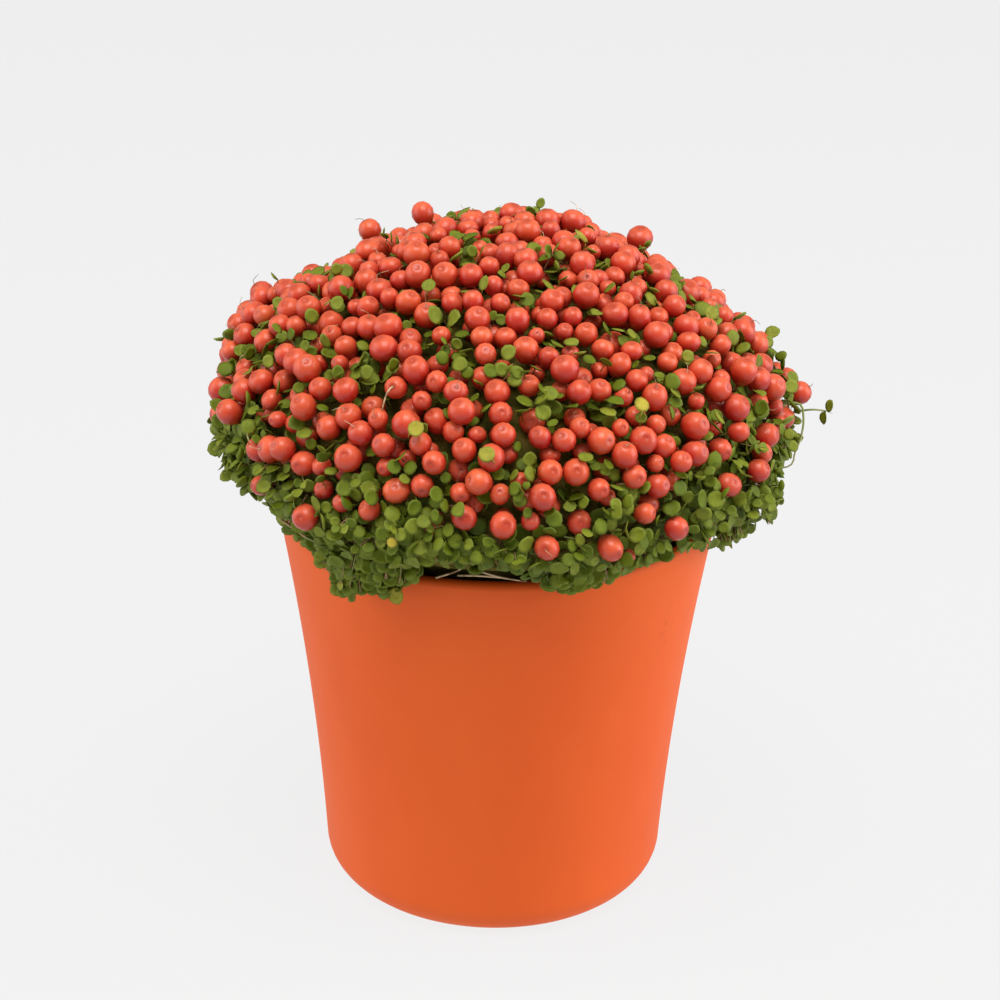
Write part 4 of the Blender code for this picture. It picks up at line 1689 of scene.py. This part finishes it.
@dataclass
class Heart:
    """Inside of the cushion under the leaves, dark as painted shade, and its neck down to the
    compost.
    """

    cushion: Cushion
    sink: float = 2.0 * MM        # depth under the cushion's surface
    tuck: float = math.radians(34)    # below the waist, where the underside turns in
    neck_radius: float = 50 * MM
    neck_top: float = 106 * MM
    foot: float = 99.8 * MM
    rings: int = 20
    segments: int = 64

    def build(self) -> None:
        """Build the heart as one closed piece."""
        bm = bmesh.new()
        top = bm.verts.new(self.cushion.surface(math.pi / 2, 0.0, -self.sink)[0])
        rings = [[top]]
        turns = [math.tau * turn / self.segments for turn in range(self.segments)]
        for ring in range(1, self.rings + 1):
            rise = math.pi / 2 - (math.pi / 2 + self.tuck) * ring / self.rings
            rings.append([bm.verts.new(self.cushion.surface(rise, turn, -self.sink)[0])
                          for turn in turns])
        for height in (self.neck_top, self.foot):
            rings.append([bm.verts.new((self.neck_radius * math.cos(turn),
                                        self.neck_radius * math.sin(turn), height))
                          for turn in turns])
        bridge(bm, rings)
        bm.faces.new(reversed(rings[-1]))
        bmesh.ops.recalc_face_normals(bm, faces=bm.faces)
        piece = mesh_object("cushion_heart", bm)
        piece.data.materials.append(HeartShade().material())
        settle(piece, "leaf_green", "leaf_cushion")


@dataclass
class CoverPot:
    """Cover pot: a flared wall on a round corner, with a softly rounded rim."""

    height: float = 105 * MM
    rim_radius: float = 56 * MM
    foot_radius: float = 35 * MM
    corner: float = 9.6 * MM
    flare: float = 0.51           # share of the flare that grows with the height squared
    wall: float = 3.5 * MM
    segments: int = 144
    wall_spans: int = 24
    corner_spans: int = 12
    lip_spans: int = 10
    floor_spans: int = 8

    def wall_radius(self, height: float) -> float:
        """Outer radius of the wall.

        Args:
            height: height above the round corner.

        Returns:
            The radius there.
        """
        low = self.foot_radius + self.corner
        share = (height - self.corner) / (self.height - self.corner)
        return low + (self.rim_radius - low) * ((1 - self.flare) * share + self.flare * share ** 2)

    def build(self) -> None:
        """Turn the pot as one closed piece."""
        half = self.wall / 2
        rim = self.height - half
        floor = arc((self.foot_radius, self.corner), self.corner - self.wall,
                    -math.pi / 2, 0.0, self.floor_spans)
        heights = [self.corner + (rim - self.corner) * step / self.wall_spans
                   for step in range(1, self.wall_spans)]
        inside = [(self.wall_radius(height) - self.wall, height) for height in heights]
        lip = arc((self.wall_radius(rim) - half, rim), half, math.pi, 0.0, self.lip_spans)
        outside = [(self.wall_radius(height), height) for height in reversed(heights)]
        foot = arc((self.foot_radius, self.corner), self.corner, 0.0, -math.pi / 2,
                   self.corner_spans)
        profile = [(0.0, self.wall)] + floor + inside + lip + outside + foot + [(0.0, 0.0)]
        piece = lathe("pot_shell", profile, self.segments)
        piece.data.materials.append(MatteClay().material())
        settle(piece, "pot_orange", "cover_pot")


@dataclass
class CompostFill:
    """Compost: fills the pot to a little under the rim, with an uneven crumbly top."""

    pot: CoverPot
    top: float = 99.3 * MM
    levels: tuple[float, ...] = (75 * MM, 50 * MM, 25 * MM)    # points down its side
    clearance: float = 0.3 * MM
    segments: int = 96
    rings: int = 14
    floor_spans: int = 5
    roughness: float = 0.5 * MM
    seed: int = 5

    def build(self) -> None:
        """Turn the compost as one closed piece and crumble its top."""
        offset = self.pot.wall + self.clearance
        edge = self.pot.wall_radius(self.top) - offset
        top = [(edge * ring / self.rings, self.top) for ring in range(self.rings + 1)]
        wall = [(self.pot.wall_radius(height) - offset, height)
                for height in (*self.levels, self.pot.corner)]
        floor = arc((self.pot.foot_radius, self.pot.corner), self.pot.corner - offset,
                    0.0, -math.pi / 2, self.floor_spans)[1:]
        piece = lathe("compost_fill", top + wall + floor + [(0.0, offset)], self.segments)
        rng = random.Random(self.seed)
        for vertex in piece.data.vertices:
            if vertex.co.z > self.top - MM and vertex.co.xy.length < edge - MM:
                vertex.co.z += rng.uniform(-1.0, 0.0) * self.roughness
        piece.data.materials.append(CompostCrumb().material())
        settle(piece, "compost_brown", "compost")


@dataclass(frozen=True)
class StrayLeaf:
    """A leaf outside the cushion, or a pale one on it."""

    place: Triple                 # its middle, in millimetres
    facing: Triple                # way its upper face looks
    toward: Triple                # way its tip points
    girth: float                  # half its length, in metres
    shade: float                  # its tint


@dataclass
class StrayStems:
    """Stems outside the cushion: the loop and the sprig on the right, a runner and twigs."""

    girth: float = 0.32 * MM      # radius of a stem
    loop: tuple[Triple, ...] = (  # points of the paths, in millimetres
        (65.0, -5.0, 131.0), (73.8, -5.0, 132.5), (75.4, -6.2, 129.0), (75.0, -7.0, 124.2),
        (73.8, -7.0, 120.3), (72.0, -7.0, 116.2), (60.0, -6.0, 115.0),
    )
    sprig: tuple[Triple, ...] = ((65.0, 3.0, 124.0), (76.5, 1.2, 128.3), (82.0, 1.0, 128.3))
    runner: tuple[Triple, ...] = (
        (-52.9, -44.2, 123.5), (-51.5, -45.5, 121.3), (-50.3, -43.9, 117.8),
        (-51.2, -41.2, 115.4),
    )
    bud: tuple[Triple, ...] = ((-51.4, -41.0, 116.2), (-51.2, -41.2, 115.2), (-50.8, -41.5, 114.4))
    trail: tuple[Triple, ...] = (
        (-50.8, -41.5, 114.4), (-47.3, -43.5, 112.8), (-44.3, -46.0, 111.8),
        (-40.0, -48.5, 111.4), (-34.0, -48.0, 112.0),
    )
    twigs: tuple[tuple[Triple, ...], ...] = (
        ((-9.0, -55.0, 107.0), (-3.8, -58.6, 108.6), (3.0, -57.6, 107.6)),
        ((-6.0, -57.6, 110.0), (0.5, -59.4, 108.8), (7.0, -57.0, 106.6)),
        ((-14.0, -56.0, 106.8), (-9.5, -58.2, 109.4), (-6.5, -60.0, 112.0)),
        ((-20.0, -50.0, 152.0), (-24.5, -57.2, 153.4), (-26.5, -58.4, 147.0)),
    )
    leaves: tuple[StrayLeaf, ...] = (
        StrayLeaf((82.9, 0.9, 129.7), (-0.9, -0.5, 0.2), (0.45, -0.1, 0.9), 1.7 * MM, 0.72),
        StrayLeaf((81.8, 0.9, 126.5), (-0.95, -0.4, 0.1), (0.0, -0.1, -1.0), 1.7 * MM, 0.66),
        StrayLeaf((-23.2, -57.2, 102.8), (-0.3, -0.95, 0.2), (0.4, -0.1, -0.9), 2.2 * MM, 0.92),
        StrayLeaf((-23.5, -70.0, 121.6), (-0.3, -0.9, 0.3), (0.1, 0.0, 1.0), 1.3 * MM, 1.05),
        StrayLeaf((31.9, -57.0, 150.6), (0.3, -0.6, 0.7), (0.2, 0.0, 1.0), 2.0 * MM, 0.95),
        StrayLeaf((-2.6, -70.0, 143.0), (0.0, -0.8, 0.6), (-0.6, 0.2, 0.5), 1.9 * MM, 0.9),
        StrayLeaf((-18.2, -65.6, 147.0), (-0.2, -0.8, 0.6), (0.6, 0.2, 0.4), 1.9 * MM, 0.92),
        StrayLeaf((67.9, 5.6, 147.0), (-0.2, -0.6, 0.8), (0.8, 0.2, 0.4), 2.0 * MM, 0.84),
    )
    seed: int = 3

    @staticmethod
    def _path(points: Iterable[Triple], thick: float) -> Path3D:
        """Path of a tube that is thinner at its end.

        Args:
            points: the path's points, in millimetres.
            thick: the tube's radius at its start, in metres.

        Returns:
            The path.
        """
        places = [Vector(point) * MM for point in points]
        last = len(places) - 1
        return [(place, thick * (1 - 0.35 * step / last)) for step, place in enumerate(places)]

    def build(self, copies: CopyTree, tubes: TubeTree, shapes: bpy.types.Collection) -> None:
        """Lay the stems and put on the leaves.

        Args:
            copies: the tree that puts shapes on sites.
            tubes: the tree that runs tubes along paths.
            shapes: the leaf shapes.
        """
        young = StemBark("young_stem", linear(180, 172, 118), linear(134, 148, 74))
        green = [self._path(path, self.girth) for path in (self.loop, self.sprig)]
        green.append(self._path(self.runner, self.girth * 0.6))
        brown = [self._path(self.bud, self.girth * 2.6), self._path(self.trail, self.girth)]
        dry = [self._path(path, self.girth * 0.8) for path in self.twigs]
        for piece in (tubes.lay("stray_stems", green, young),
                      tubes.lay("runner_stems", brown, StemBark(), step=0.5 * MM),
                      tubes.lay("dry_twigs", dry, DryTwig())):
            settle(piece, "leaf_green", "leaf_cushion")
        sites = Sites.named("stray_leaves")
        for leaf in self.leaves:
            sites.add(Vector(leaf.place) * MM, Vector(leaf.facing).normalized(),
                      Vector(leaf.toward).normalized(), leaf.girth, leaf.shade)
        piece = copies.grow(sites, shapes, LeafSkin(), self.seed, stretch=0.1, spread=0.02)
        settle(piece, "leaf_green", "leaf_cushion")


@dataclass(frozen=True)
class Softbox:
    """A square lamp that shines on the plant."""

    name: str
    place: Triple                 # its middle, in metres
    size: float                   # its side
    power: float                  # in watts

    def hang(self, aim: Vector) -> None:
        """Hang the lamp, turned to a point.

        Args:
            aim: the point.
        """
        data = bpy.data.lights.new(self.name, 'AREA')
        data.shape = 'SQUARE'
        data.size = self.size
        data.energy = self.power
        lamp = bpy.data.objects.new(self.name, data)
        lamp.location = self.place
        lamp.rotation_euler = (aim - lamp.location).to_track_quat('-Z', 'Y').to_euler()
        bpy.context.scene.collection.objects.link(lamp)


@dataclass
class Studio:
    """Camera, lights and floor, from the photo's viewing angle."""

    camera_place: Triple = (0.0, -534.13 * MM, 325.33 * MM)
    camera_aim: Triple = (0.55 * MM, 0.0, 103.2 * MM)
    camera_roll: float = math.radians(0.89)
    lens: float = 81.8            # both in millimetres
    sensor: float = 36.0
    lamps: tuple[Softbox, ...] = (
        Softbox("softbox_left", (-1.05, -0.10, 0.45), 1.0, 6.0),
        Softbox("softbox_right", (1.05, -0.10, 0.45), 1.0, 10.0),
        Softbox("softbox_top", (0.0, -0.45, 1.25), 0.8, 12.5),
    )
    lamp_aim: Triple = (0.0, 0.0, 0.11)
    air: float = 0.28             # even light from all around
    floor_size: float = 14.0

    def build(self) -> None:
        """Set up the camera, the lights, the floor and the surroundings."""
        self._camera()
        self._floor()
        for lamp in self.lamps:
            lamp.hang(Vector(self.lamp_aim))
        world = bpy.data.worlds.new("studio_air")
        world.use_nodes = True
        background = world.node_tree.nodes["Background"]
        background.inputs["Color"].default_value = (1.0, 1.0, 1.0, 1.0)
        background.inputs["Strength"].default_value = self.air
        bpy.context.scene.world = world
        bpy.context.scene.view_settings.view_transform = 'Standard'

    def _camera(self) -> None:
        """Place the camera, turned a little about its own axis."""
        data = bpy.data.cameras.new("camera")
        data.lens = self.lens
        data.sensor_width = self.sensor
        camera = bpy.data.objects.new("camera", data)
        bpy.context.scene.collection.objects.link(camera)
        place, aim = Vector(self.camera_place), Vector(self.camera_aim)
        look = (aim - place).to_track_quat('-Z', 'Y').to_matrix().to_4x4()
        camera.matrix_world = (Matrix.Translation(place) @ look
                               @ Matrix.Rotation(self.camera_roll, 4, 'Z'))
        bpy.context.scene.camera = camera

    def _floor(self) -> None:
        """Lay the floor."""
        bm = bmesh.new()
        bmesh.ops.create_grid(bm, x_segments=1, y_segments=1, size=self.floor_size / 2)
        floor = mesh_object("floor", bm)
        floor.data.materials.append(PaleFloor().material())


def main() -> None:
    """Build the studio and every piece."""
    logging.basicConfig(level=logging.INFO, format="%(message)s")
    Studio().build()
    copies, tubes = CopyTree(), TubeTree()
    cushion, pot = Cushion(), CoverPot()
    pot.build()
    CompostFill(pot).build()
    Heart(cushion).build()
    berries = BerrySprays(cushion).build(copies, tubes)
    shapes = LeafCover(cushion, pot, berries).build(copies, tubes)
    StrayStems().build(copies, tubes, shapes)


if __name__ == "__main__":
    main()
